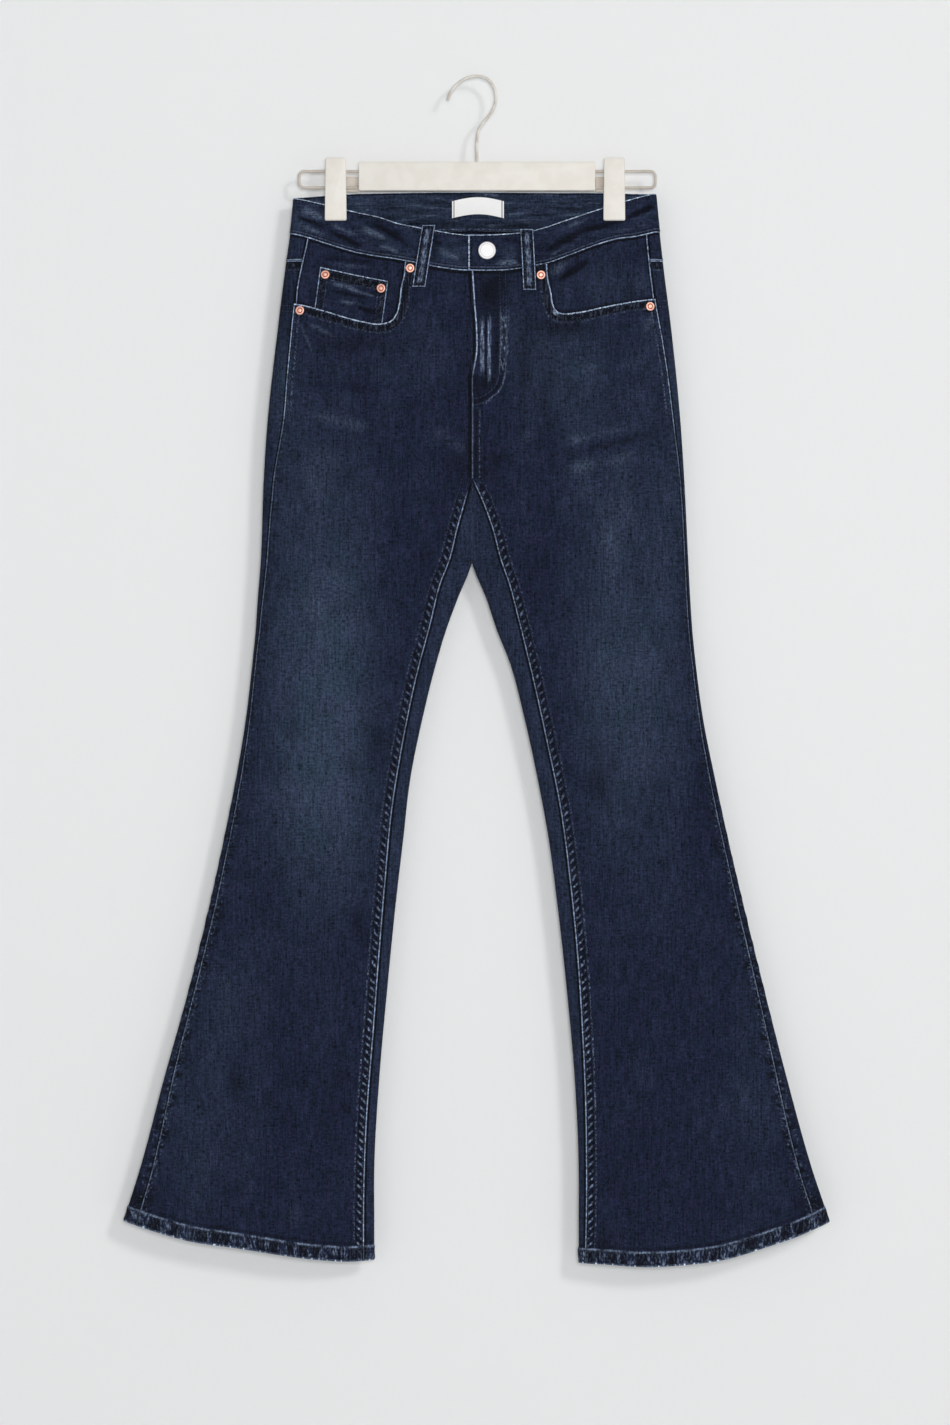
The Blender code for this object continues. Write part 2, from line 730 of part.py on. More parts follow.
def fasteners(group):
    rim, shank = BUTTON_RADIUS, 3.4
    button = ((0, 0), (shank, 0), (shank, 1.6), (rim - 0.8, 1.7), (rim, 2.3), (rim, 3.1),
              (rim - 0.7, 3.7), (rim - 1.6, 3.5), (rim - 2.4, 3.2), (0, 3.4))
    turned("button", button, BUTTON_AT, 0.0, material("button", SILVER, 0.3, 0.9), group, 20)
    rim = RIVET_RADIUS
    rivet = ((0, 0), (rim, 0), (rim, 0.5), (rim - 0.5, 1.1), (rim - 1.1, 1.1),
             (rim - 1.7, 0.6), (1.5, 0.6), (1.2, 1.4), (0, 1.6))
    for name, (x, below, sunk) in RIVETS.items():
        look = material(f"rivet {name}", COPPER, 0.35, 0.9)
        turned(f"rivet_{name}", rivet, (x, below), sunk, look, group, 12)


def box(name, left, right, front, back, top, bottom, group=None):
    """A box between x values, y values and levels."""
    form = bmesh.new()
    bmesh.ops.create_cube(form, size=MM)
    bmesh.ops.scale(form, vec=(right - left, back - front, bottom - top), verts=form.verts)
    middle = Vector(((left + right) / 2, (front + back) / 2, -(top + bottom) / 2))
    bmesh.ops.translate(form, vec=middle * MM, verts=form.verts)
    mesh = bpy.data.meshes.new(name)
    form.to_mesh(mesh)
    form.free()
    thing = bpy.data.objects.new(name, mesh)
    return as_cutter(thing, group) if group else thing


def wire_holes(group):
    """Cutters for the two runs of the wire loop."""
    holes = []
    for edge in ("top", "bottom"):
        form = bmesh.new()
        radius = (LOOP_WIRE_RADIUS + SEAM) * MM
        bmesh.ops.create_cone(form, cap_ends=True, segments=16, radius1=radius,
                              radius2=radius, depth=0.5)
        bmesh.ops.rotate(form, verts=form.verts, matrix=Matrix.Rotation(math.pi / 2, 3, "Y"))
        bmesh.ops.translate(form, vec=(0, 0, -WIRE_LOOP[edge] * MM), verts=form.verts)
        mesh = bpy.data.meshes.new(f"wire_hole_{edge}")
        form.to_mesh(mesh)
        form.free()
        holes.append(as_cutter(bpy.data.objects.new(mesh.name, mesh), group))
    return holes


def bevel(thing, width, segments=2):
    change = thing.modifiers.new("round", "BEVEL")
    change.width = width * MM
    change.segments = segments


def hanger_bar(holes, group):
    deep = BAR["depth"] / 2
    bar = box("hanger_bar", BAR["left"], BAR["right"], -deep, deep, BAR["top"], BAR["bottom"])
    bar.data.materials.append(material("hanger bar", CREAM, 0.45))
    group.objects.link(bar)
    bevel(bar, 1.5)
    for hole in holes:
        boolean(bar, hole, "DIFFERENCE")


def clip(side, holes, group, cutters):
    """Two plates joined by a block round the wire."""
    sign = SIDES[side]
    middle = CLIP_MIDDLE[side]
    left, right = middle - CLIP_WIDTH / 2, middle + CLIP_WIDTH / 2
    near, far = CLIP_JAW, CLIP_JAW + CLIP_PLATE
    plate = box(f"hanger_clip_{side}", left, right, -far, -near, CLIP_TOP, CLIP_BOTTOM)
    plate.data.materials.append(material(f"hanger clip {side}", CREAM, 0.4))
    group.objects.link(plate)
    ends = sorted((middle + sign * CLIP_BLOCK["outer"], CLIP_BLOCK_END[side]))
    block = box(f"clip_block_{side}", *ends, -far + 1.0, far - 1.0,
                CLIP_BLOCK["top"], CLIP_BLOCK["bottom"], cutters)
    rear = box(f"clip_rear_{side}", left + 0.5, right - 0.5, near, far,
               CLIP_TOP + 1, CLIP_BOTTOM - 1, cutters)
    boolean(plate, block, "UNION")
    boolean(plate, rear, "UNION")
    for hole in holes:
        boolean(plate, hole, "DIFFERENCE")


def wire(name, points, radius, look, group, closed=False):
    """A round wire through points of x and below, in the hanger's plane."""
    curve = bpy.data.curves.new(name, "CURVE")
    curve.dimensions = "3D"
    curve.bevel_depth = radius * MM
    curve.bevel_resolution = 2
    curve.resolution_u = 3
    curve.use_fill_caps = True
    spline = curve.splines.new("POLY" if closed else "BEZIER")
    spline.use_cyclic_u = closed
    if closed:
        spline.points.add(len(points) - 1)
        for point, (x, below) in zip(spline.points, points):
            point.co = (x * MM, 0, -below * MM, 1)
    else:
        spline.bezier_points.add(len(points) - 1)
        for point, (x, below) in zip(spline.bezier_points, points):
            point.co = (x * MM, 0, -below * MM)
            point.handle_left_type = point.handle_right_type = "AUTO"
    return add(name, curve, look, group)


def wire_loop(group):
    """A long loop with round corners."""
    corner = WIRE_LOOP["corner"]
    points = []
    for right, low, turn in ((1, 0, 0), (1, 1, 1), (0, 1, 2), (0, 0, 3)):
        x = WIRE_LOOP["right"] - corner if right else WIRE_LOOP["left"] + corner
        below = WIRE_LOOP["bottom"] - corner if low else WIRE_LOOP["top"] + corner
        for part in range(5):
            angle = math.pi / 2 * (turn + part / 4)
            points.append((x + corner * math.sin(angle), below - corner * math.cos(angle)))
    wire("hanger_wire", points, LOOP_WIRE_RADIUS, material("hanger wire", BEIGE, 0.4), group, True)


def main():
    clear_scene()
    jeans = collection("bootcut jeans on clip hanger")
    cutters = collection("cutters")
    for side in SIDES:
        front_panel(side, jeans, cutters)
        back_panel(side, jeans)
        yoke(side, jeans)
        facing(side, jeans)
        patch_pocket(side, jeans)
    waistband(jeans)
    coin_pocket(jeans)
    for name in BELT_LOOPS:
        belt_loop(name, jeans)
    label(jeans)
    fasteners(jeans)
    holes = wire_holes(cutters)
    hanger_bar(holes, jeans)
    for side in SIDES:
        clip(side, holes, jeans, cutters)
    wire_loop(jeans)
    wire("hanger_hook", HOOK_PATH, WIRE_RADIUS, material("hanger hook", CREAM, 0.35), jeans)


main()
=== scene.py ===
import math

import bpy
import numpy as np
from mathutils import Matrix, Vector


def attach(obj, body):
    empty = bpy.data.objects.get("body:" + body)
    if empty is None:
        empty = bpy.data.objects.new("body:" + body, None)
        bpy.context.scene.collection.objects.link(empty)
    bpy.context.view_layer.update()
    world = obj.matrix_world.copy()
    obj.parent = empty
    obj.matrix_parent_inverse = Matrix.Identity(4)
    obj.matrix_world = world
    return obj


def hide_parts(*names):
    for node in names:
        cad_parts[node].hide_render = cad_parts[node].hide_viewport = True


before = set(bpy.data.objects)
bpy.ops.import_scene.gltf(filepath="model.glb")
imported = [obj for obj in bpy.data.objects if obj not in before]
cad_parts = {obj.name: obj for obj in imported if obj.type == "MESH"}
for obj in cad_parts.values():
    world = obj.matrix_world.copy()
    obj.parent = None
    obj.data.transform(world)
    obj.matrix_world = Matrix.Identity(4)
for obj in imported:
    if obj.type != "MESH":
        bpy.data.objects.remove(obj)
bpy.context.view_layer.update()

# Lengths are millimetres. "below" is the drop under the hang point and "reach" the
# distance from the middle seam. Left and right are the viewer's.
MM = 0.001
SIDES = {"left": -1.0, "right": 1.0}
MIDDLE_X = -5.0
# How thick each cloth is, and the gap between two pieces at a seam
CLOTH = 1.2
BAND_CLOTH = 1.6
LOOP_CLOTH = 1.6
FACING_CLOTH = 1.0
LABEL_CLOTH = 0.8
SEAM = 0.3
BLUNT = 0.75  # how blunt the cloth's side folds are
# Levels: the rows of points run level from STRAIGHT to FLARE, the front's middle seam
# ends at CROTCH, and the legs are apart below FORK.
STRAIGHT = 254.0
CROTCH = 402.0
FORK = 486.0
FLARE = 1094.0
HIDDEN_HEM_DROP = 1.5  # how much lower the hem hangs behind
HEM_BAND = 15.0
HEM_ROPE = 15.0  # from one twist of the roped hem to the next
FRAYED_KNOT = (79.0, 237.0)
# A clip's jaws hold the cloth's faces PINCHED from its middle, PINCH_FLAT to each side.
# The cloth is free again PINCH_WIDTH further on, and at the level PINCH_END.
CLIP_MIDDLE = {"left": -141.5, "right": 137.5}
CLIP_BOTTOM = 144.0
PINCH_FLAT = 13.0
PINCH_WIDTH = 46.0
PINCH_END = 250.0
PINCHED = 1.9


def table(names, *rows):
    """Columns by name, from one row of numbers for each section."""
    columns = np.array(rows, dtype=float).T
    return dict(zip(names.split(), columns))


SECTIONS = table(
    "below left_side right_side left_inner right_inner front_bow back_bow middle",
    (112, 178, 184, 0, 0, 25, 8, 0),
    (154, 182, 188, 0, 0, 27, 9, 0),
    (190, 187, 192, 0, 0, 27, 11, 0),
    (254, 195, 200, 0, 0, 25, 14, 1),
    (344, 205, 209, 0, 0, 21, 15, 2),
    (404, 209, 213, 0, 0, 19, 14, 3),
    (486, 212, 217, 0, 0, 17, 13, 3),
    (524, 215, 219, 15, 15, 16, 13, 3),
    (554, 217, 221, 26, 25, 15.5, 12.5, 3),
    (584, 220, 224, 35, 37, 15, 12, 3),
    (644, 227, 232, 50, 53, 14, 11.5, 3),
    (704, 237, 244, 62, 66, 13, 11, 3),
    (764, 249, 257, 69, 77, 12.5, 11, 3),
    (824, 262, 271, 76, 85, 12.5, 11, 3),
    (914, 284, 293, 85, 95, 13, 11.5, 3),
    (1004, 309, 316, 93, 103, 14.5, 12.5, 3),
    (1094, 333, 341, 98, 107, 16, 13.5, 3),
    (1147, 349.5, 358.5, 98, 107, 17, 14, 3),
    (1190, 361, 370, 98, 107, 17, 14, 3),
)
SEAMS = table(
    "below left_inset right_inset left_inseam right_inseam",
    (112, 19, 12, 0, 0),
    (160, 17.5, 12.5, 0, 0),
    (211, 14, 13, 0, 0),
    (295, 15, 8.5, 0, 0),
    (340, 16, 7, 0, 0),
    (402, 10, 4, 0, 0),
    (420, 9, 3.5, 5, 8),
    (452, 7, 3, 14, 20),
    (484, 6, 3, 22, 28.5),
    (507, 5.5, 3, 31, 36.5),
    (543, 4, 3, 40, 46),
    (600, 3, 3, 55, 60),
    (668, 4, 4, 69, 75),
    (732, 5, 5, 79.5, 88),
    (812, 5.5, 5.5, 87, 98.5),
    (964, 7, 8, 99, 110.5),
    (1043, 10.5, 11.5, 105, 113.5),
    (1106, 13, 13.5, 107.5, 114),
    (1190, 14, 14, 108, 113),
)
WAIST_FRONT = table(
    "reach left_top left_seam right_top right_seam",
    (0, 160, 196, 160, 196),
    (7, 159.9, 195.9, 160, 196),
    (35, 156, 192.5, 159, 195.5),
    (60, 151.5, 187.5, 156, 191.5),
    (77, 148, 184.5, 151.5, 188),
    (97, 141, 181, 144.5, 180.5),
    (122, 134.5, 175, 135, 170),
    (147, 128.5, 167.5, 127, 162.5),
    (167, 124.5, 161.5, 121.5, 160),
    (187, 121, 157, 117, 156),
)
WAIST_BACK = table(
    "reach left_top left_seam right_top right_seam",
    (0, 114.3, 153, 114.3, 153),
    (60, 114.8, 154, 114.8, 154),
    (120, 116.5, 156, 115.5, 155),
    (187, 121, 157, 117, 156),
)
YOKE_SIDE = 184.0
YOKE_MIDDLE = 211.0
HEM_LINE = table(
    "share left right",
    (0, 1185, 1188),
    (0.1, 1186, 1189),
    (0.25, 1183, 1191),
    (0.4, 1177.5, 1189),
    (0.55, 1171.5, 1184),
    (0.7, 1166.5, 1173.5),
    (0.85, 1157, 1161.5),
    (1, 1146, 1147),
)
FOLD_COLUMNS = "side top bottom tau_top tau_bottom spread height"
FOLDS = (
    ("left", 640, 1260, 1.35, 1.10, 0.20, 2.6),
    ("left", 780, 1260, 1.90, 2.05, 0.16, -2.4),
    ("left", 300, 620, 1.95, 1.75, 0.22, 1.8),
    ("left", 820, 1260, 4.20, 4.45, 0.22, 3.0),
    ("left", 700, 1260, 5.25, 5.10, 0.20, -2.4),
    ("right", 640, 1260, 1.30, 1.15, 0.20, 2.4),
    ("right", 800, 1260, 1.95, 2.10, 0.17, -2.6),
    ("right", 310, 640, 2.05, 1.80, 0.22, 2.0),
    ("right", 820, 1260, 4.25, 4.40, 0.22, 2.8),
    ("right", 720, 1260, 5.20, 5.05, 0.20, -2.4),
)
MOUTHS = {
    "left": (
        (-71.5, 176), (-72, 190), (-73, 200), (-76, 212), (-78, 229), (-81, 239),
        (-86, 245.5), (-94, 248), (-118, 245), (-149, 236), (-174, 229), (-196, 226),
    ),
    "right": (
        (69.5, 178), (70, 192), (71, 204), (74, 217), (76, 229), (79, 235.5),
        (85, 238), (99, 237), (128, 231), (159, 225), (175, 223), (196, 221),
    ),
}
FACING_RECESS = {"left": 2.8, "right": 1.5}
FACING_INNER = {"left": -58.0, "right": 56.0}
FACING_MIDDLE = 200.0  # the facing's outline is found in steps from this level
FACING_BOTTOM = 268.0
FACING_SLOPE = 12.0  # how far from an edge the facing reaches its depth
FACING_FLOOR = 16.0
COIN_RECESS = 1.5
COIN_SIZE = (68.0, 58.0)
COIN_CORNERS = {"top_outer": (-157, 190), "top_inner": (-89, 206),
                "bottom_outer": (-165, 250), "bottom_inner": (-96, 260)}
BELT_LOOPS = {
    "front_left": ("front", -48, 150.5, -58, 212),
    "front_right": ("front", 49.5, 154.5, 52.5, 215),
    "back_left": ("back", -100, 117.5, -102, 177),
    "back_middle": ("back", MIDDLE_X, 117, MIDDLE_X, 176),
    "back_right": ("back", 90, 117.5, 92, 177),
}
BELT_LOOP_WIDTH = 13.0
BELT_LOOP_STAND = 2.4
PATCH = {"inner": 34.0, "outer": 162.0, "top": 226.0, "side": 352.0, "point": 372.0}
RIVETS = {
    "coin_outer": (-152, 198), "coin_inner": (-96, 213), "left_outer": (-177, 234.5),
    "left_inner": (-66.6, 193.3), "right_inner": (63.8, 200), "right_outer": (173, 230.5),
}
BUTTON_AT = (10.0, 176.0)
FLY_EDGE = table(
    "below x",
    (196, -5), (227, -3), (252, -1), (278, -1), (290, -3), (299, -4.6), (330, -4.8), (402, -5),
)
JAY = table(
    "below x",
    (196, 29), (290, 29), (302, 28), (315, 23), (323, 14), (329, 3), (330, -5),
)
BAR = {"x": (-118.5, 118.5), "y": (-5.0, 5.0), "below": (85.0, 114.0)}
CLIP = {
    "half": 10.25, "rear_half": 9.75, "core": 9.0, "end": 119.0, "jaw": (2.2, 6.6),
    "front_below": (81.0, 144.0), "rear_below": (82.0, 143.0), "core_below": (96.5, 108.0),
    "tongue_below": (99.3, 114.6), "core_y": (-3.0, 3.0), "tongue_y": (1.8, 5.4),
    "corner": 1.8, "flare": 1.07,
}
LABEL = {"left": -25.0, "right": 27.0, "top": 125.0, "bottom": 142.0, "raised": 1.6, "arch": 4.0}
OVERLAP_REACH = 4.0

SEAM_START = {"left": 419.0, "right": 408.0}

# Creases in the cloth: where each starts and ends (x, below), its spread and height
CREASES = {
    "front": (
        (-188, 136, -146, 153, 2.6, -1.6),
        (-156, 150, -108, 173, 2.6, -1.6),
        (-114, 143, -62, 173, 3.0, -1.6),
        (-88, 153, -60, 166, 3.4, -1.0),
        (-180, 130, -148, 145, 4.2, 1.0),
        (-152, 145, -116, 159, 3.2, 0.8),
        (-120, 149, -82, 167, 4.0, 1.2),
        (-180, 147, -146, 161, 3.0, 0.8),
        (-102, 169, -72, 179, 2.4, 1.0),
        (-56, 160, -30, 172, 3.0, -1.3),
        (-44, 176, -14, 184, 2.6, 0.9),
        (-52, 168, -24, 178, 2.4, 0.7),
        (18, 164, 46, 167, 2.8, -1.1),
        (14, 189, 46, 187, 2.4, 0.8),
        (186, 126, 144, 144, 2.6, -1.6),
        (154, 141, 98, 158, 2.8, -1.6),
        (110, 153, 60, 181, 3.0, -1.7),
        (184, 131, 146, 148, 2.8, 1.1),
        (122, 137, 82, 156, 3.4, 1.1),
        (132, 150, 92, 165, 3.0, 0.9),
        (96, 167, 68, 183, 2.4, 0.9),
        (180, 145, 132, 157, 2.6, 0.8),
        (120, 178, 68, 216, 3.2, -1.9),
        (106, 176, 68, 202, 5.0, 1.3),
        (-154, 205, -116, 214, 2.0, 1.4),
        (-132, 212, -96, 223, 1.9, 1.5),
        (-150, 213, -108, 223, 2.2, -1.7),
        (-142, 224, -100, 233, 1.9, 1.3),
        (-128, 227, -94, 240, 2.6, -1.5),
        (-181, 238, -160, 286, 2.0, 1.5),
        (-176, 244, -136, 264, 2.6, 1.2),
        (175, 236, 168, 258, 2.6, 0.8),
        (74, 370, 190, 342, 6.0, 0.8),
        (70, 384, 186, 354, 6.0, -0.7),
        (76, 398, 184, 372, 7.0, 0.7),
        (60, 300, 176, 286, 6.0, 0.55),
        (-84, 356, -190, 334, 7.0, 0.55),
        (-80, 372, -186, 350, 7.0, -0.5),
        (-60, 300, -176, 282, 7.0, 0.5),
        (-70, 318, -184, 306, 6.0, -0.5),
        (12, 230, 12.5, 306, 2.8, 0.7),
        (24, 226, 27, 300, 3.0, 0.8),
        (18, 236, 19, 300, 2.6, -0.8),
        (-14, 398, -58, 366, 8.0, -0.7),
        (-2, 398, 52, 360, 8.0, -0.6),
        (-168, 179, -84, 188, 2.6, -1.1),
        (-162, 184, -90, 193, 2.4, 0.8),
        (-8, 380, -44, 344, 8.0, 0.7),
        (14, 380, 66, 350, 8.0, 0.7),
        (-150, 330, -160, 620, 34.0, 0.5),
        (118, 330, 134, 640, 30.0, 0.4),
        (-88, 540, -126, 760, 20.0, -0.3),
        (92, 560, 130, 760, 20.0, -0.3),
    ),
    "back": (
        (-150, 150, -40, 210, 9.0, -1.4),
        (140, 150, 36, 210, 9.0, -1.4),
        (-30, 400, -130, 350, 14.0, -0.9),
        (20, 400, 120, 350, 14.0, -0.9),
        (-24, 440, -110, 400, 12.0, 0.5),
        (14, 440, 100, 400, 12.0, 0.5),
    ),
}


def ease(share):
    """0 to 1 with soft ends."""
    share = np.clip(share, 0.0, 1.0)
    return share * share * (3.0 - 2.0 * share)


def bell(away, middle, wide):
    """1 at the middle, falling off softly on both sides."""
    return np.exp(-(((away - middle) / wide) ** 2))


def read(rows, column, where):
    """A smooth curve through one column of a table, read at where."""
    keys = rows[next(iter(rows))]
    values = rows[column]
    slopes = np.gradient(values, keys)
    where = np.clip(where, keys[0], keys[-1])
    low = np.clip(np.searchsorted(keys, where, side="right") - 1, 0, len(keys) - 2)
    step = keys[low + 1] - keys[low]
    share = (where - keys[low]) / step
    ends = values[low] * (1 + 2 * share) + slopes[low] * step * share
    other = values[low + 1] * (3 - 2 * share) - slopes[low + 1] * step * (1 - share)
    return ends * (1 - share) ** 2 + other * share**2


def section(side, below, cut=SEAM / 2):
    """Middle reach, half width and front opening angle of the loop at a level."""
    outer = read(SECTIONS, f"{side}_side", below)
    inner = np.maximum(read(SECTIONS, f"{side}_inner", below), cut)
    inner = np.where(below < FORK, cut, inner)
    rise = np.clip((FORK - below) / (FORK - STRAIGHT), 0.0, 1.0)
    opening = np.pi / 2 * np.sqrt(1.0 - (1.0 - rise) ** 2)
    half = (outer - inner) / (1.0 + np.cos(opening))
    return outer - half, half, opening


def folds(side, tau, below):
    """How far the large soft folds push the cloth out."""
    push = np.zeros(np.broadcast(tau, below).shape)
    for fold in FOLDS:
        fold = dict(zip(FOLD_COLUMNS.split(), fold))
        if fold["side"] != side:
            continue
        share = (below - fold["top"]) / (fold["bottom"] - fold["top"])
        ridge = fold["tau_top"] + (fold["tau_bottom"] - fold["tau_top"]) * share
        across = bell(tau, ridge, fold["spread"])
        push += fold["height"] * across * ease(share * 2.0) * ease((1.0 - share) * 4.0)
    return push


def pinch(x, below):
    """1 between the jaws of a clip, 0 away from them."""
    near = np.minimum(abs(x - CLIP_MIDDLE["left"]), abs(x - CLIP_MIDDLE["right"]))
    across = 1.0 - ease((near - PINCH_FLAT) / PINCH_WIDTH)
    down = 1.0 - ease((below - CLIP_BOTTOM - 2.0) / (PINCH_END - CLIP_BOTTOM))
    return across * down


def surface(side, tau, below, cut=SEAM / 2):
    """Points of the cloth's outer face before its creases, in millimetres."""
    middle_reach, half, _ = section(side, below, cut)
    x = MIDDLE_X + SIDES[side] * (middle_reach - half * np.cos(tau))
    sine = np.sin(tau)
    front = sine > 0
    bow = np.where(front, read(SECTIONS, "front_bow", below), read(SECTIONS, "back_bow", below))
    out = (bow + folds(side, tau % (2 * np.pi), below)) * abs(sine) ** BLUNT
    held = np.minimum(out, PINCHED)
    out = out + (held - out) * pinch(x, below)
    y = read(SECTIONS, "middle", below) + np.where(front, -out, out)
    return np.stack(np.broadcast_arrays(x, y, -below), axis=-1)


def outward(side, tau, below, cut=SEAM / 2):
    """Unit vectors out of the cloth."""
    step = 0.004
    across = surface(side, tau + step, below, cut) - surface(side, tau - step, below, cut)
    down = surface(side, tau, below + 0.5, cut) - surface(side, tau, below - 0.5, cut)
    normal = np.cross(across, down) * -SIDES[side]
    return normal / np.linalg.norm(normal, axis=-1, keepdims=True)


def tau_at(side, reach, below, cut=SEAM / 2):
    """The front face's angle at a reach."""
    middle_reach, half, _ = section(side, below, cut)
    return np.arccos(np.clip((middle_reach - reach) / half, -1.0, 1.0))


def along(side, tau, below, distance):
    """The angle a distance on from tau, round the loop."""
    step = 0.002
    gone = surface(side, tau + step, below) - surface(side, tau - step, below)
    return tau + distance * 2 * step / np.linalg.norm(gone, axis=-1)


def outseam(side, below, gap=0.0):
    """The side seam's angle, or a gap on from it."""
    edge = read(SECTIONS, f"{side}_side", below)
    tau = tau_at(side, edge - read(SEAMS, f"{side}_inset", below), below)
    return along(side, tau, below, gap)


def inseam(side, below, gap=0.0):
    """The inner seam, or the middle seam above the crotch."""
    tau = tau_at(side, read(SEAMS, f"{side}_inseam", below), below)
    return np.where(below > CROTCH, along(side, tau, below, gap), middle_front(side, below))


def middle_front(side, below):
    """The angle of the middle in front."""
    return section(side, below)[2] + 0.0 * below


def middle_back(side, below):
    """The angle of the middle behind."""
    return 2 * np.pi - middle_front(side, below)


def nominal_reach(side, tau):
    """The reach that an angle has at the yoke's side."""
    level = np.full(np.shape(tau), YOKE_SIDE)
    middle_reach, half, _ = section(side, level)
    return middle_reach - half * np.cos(tau)


def waist_line(side, tau, edge):
    """Level of the waistband's top or of the seam under it."""
    reach = abs(nominal_reach(side, tau))
    front = read(WAIST_FRONT, f"{side}_{edge}", reach)
    back = read(WAIST_BACK, f"{side}_{edge}", reach)
    return np.where(np.sin(tau) > 0, front, back)


def yoke_line(side, tau):
    """Level of the seam under a yoke."""
    share = nominal_reach(side, tau) / read(SECTIONS, f"{side}_side", YOKE_SIDE)
    level = YOKE_SIDE + (YOKE_MIDDLE - YOKE_SIDE) * (1.0 - np.clip(share, 0, 1))
    return np.where(np.sin(tau) > 0, YOKE_SIDE, level)


def hem_line(side, tau):
    """Level of a hem's lower edge."""
    level = read(HEM_LINE, side, (1.0 - np.cos(tau)) / 2)
    return level + HIDDEN_HEM_DROP * np.clip(-3 * np.sin(tau), 0, 1)


def between(upper, lower, share):
    """A row part of the way down from one line to another."""
    return lambda side, tau: upper(side, tau) * (1 - share) + lower(side, tau) * share


def level(below):
    """A row at one level."""
    return lambda side, tau: np.full(np.shape(tau), float(below))


def half_turn(side, below):
    """The angle of the side fold, where the front turns back."""
    return np.full(np.shape(below), math.pi)


def distance_to(path, x, below):
    """How far points lie from a path in x and below."""
    best = np.full(x.shape, 1e9)
    for (x0, b0), (x1, b1) in zip(path, path[1:]):
        span = (x1 - x0) ** 2 + (b1 - b0) ** 2
        share = np.clip(((x - x0) * (x1 - x0) + (below - b0) * (b1 - b0)) / span, 0, 1)
        off_x, off_below = x - x0 - share * (x1 - x0), below - b0 - share * (b1 - b0)
        best = np.minimum(best, np.hypot(off_x, off_below))
    return best


def smooth_path(path, step=1.5):
    """A path's points joined by a smooth curve."""
    path = np.array(path, dtype=float)
    run = np.concatenate([[0], np.cumsum(np.hypot(*np.diff(path, axis=0).T))])
    at = np.linspace(0, run[-1], int(run[-1] / step) + 2)
    lines = [{"run": run, "value": path[:, i]} for i in (0, 1)]
    return list(zip(*(read(line, "value", at) for line in lines)))


JAY_CURVE = smooth_path(list(zip(JAY["x"], JAY["below"])), 2.0)
MOUTH_CURVES = {side: smooth_path(path, 3.0) for side, path in MOUTHS.items()}


def mouth_level(side, x):
    """The level of the mouth's lower stretch at x, or of its end beside it."""
    path = sorted(MOUTH_CURVES[side])
    return np.interp(x, [x for x, _ in path], [below for _, below in path])


def mouth_distance(side, x, below):
    """How far outside the pocket mouth points lie, or inside it as a minus."""
    inner = MOUTHS[side][0][0]
    inside = (SIDES[side] * (x - inner) > 0) & (below < mouth_level(side, x))
    away = distance_to(MOUTH_CURVES[side], x, below)
    return np.where(inside, -away, away)


def wobble(a, b, seed):
    """A soft uneven wave, about -1 to 1, that never quite repeats."""
    total = np.zeros(np.broadcast(a, b).shape)
    for part in range(4):
        angle, size = 1.7 * seed + 2.4 * part, 1.0 + 0.61 * part
        turn = size * (a * math.cos(angle) + b * math.sin(angle)) + 3.1 * part + seed
        total += np.sin(turn) / size
    return total / 1.9


def each_spot(spots, tau):
    """Each row of a table of the front's and the back's spots, and where that face is."""
    for face, rows in spots.items():
        here = (np.sin(tau) > 0) == (face == "front")
        yield from ((here, row) for row in rows)


def creases(tau, x, below):
    """How far the creases and the cloth's own unevenness move it out."""
    push = 0.35 * wobble(x / 17, below / 30, 1.0) + 0.25 * wobble(x / 8, below / 13, 2.0)
    for here, (x0, below0, x1, below1, wide, height) in each_spot(CREASES, tau):
        span = math.hypot(x1 - x0, below1 - below0)
        run = ((x - x0) * (x1 - x0) + (below - below0) * (below1 - below0)) / span
        off = ((x - x0) * (below1 - below0) - (below - below0) * (x1 - x0)) / span
        off = off + 0.14 * wide * wobble(run / 9, off * 0, x0)
        ends = ease(run / (0.35 * span)) * ease((span - run) / (0.35 * span))
        uneven = 1.0 + 0.25 * wobble(run / 12, off * 0, below0)
        push += here * height * uneven * ends * bell(off, 0, wide)
    return push * ease(abs(np.sin(tau)) * 3.0)


def lattice(side, rows, shares, start, end, cut=SEAM / 2):
    """Angles and levels of a grid of points, a row for each line in rows."""
    taus, belows = [], []
    for row in rows:
        below = row(side, np.full(len(shares), math.pi))
        for _ in range(4):
            tau = start(side, below) * (1 - shares) + end(side, below) * shares
            below = row(side, tau)
        taus.append(tau)
        belows.append(below)
    return side, np.array(taus), np.array(belows), cut


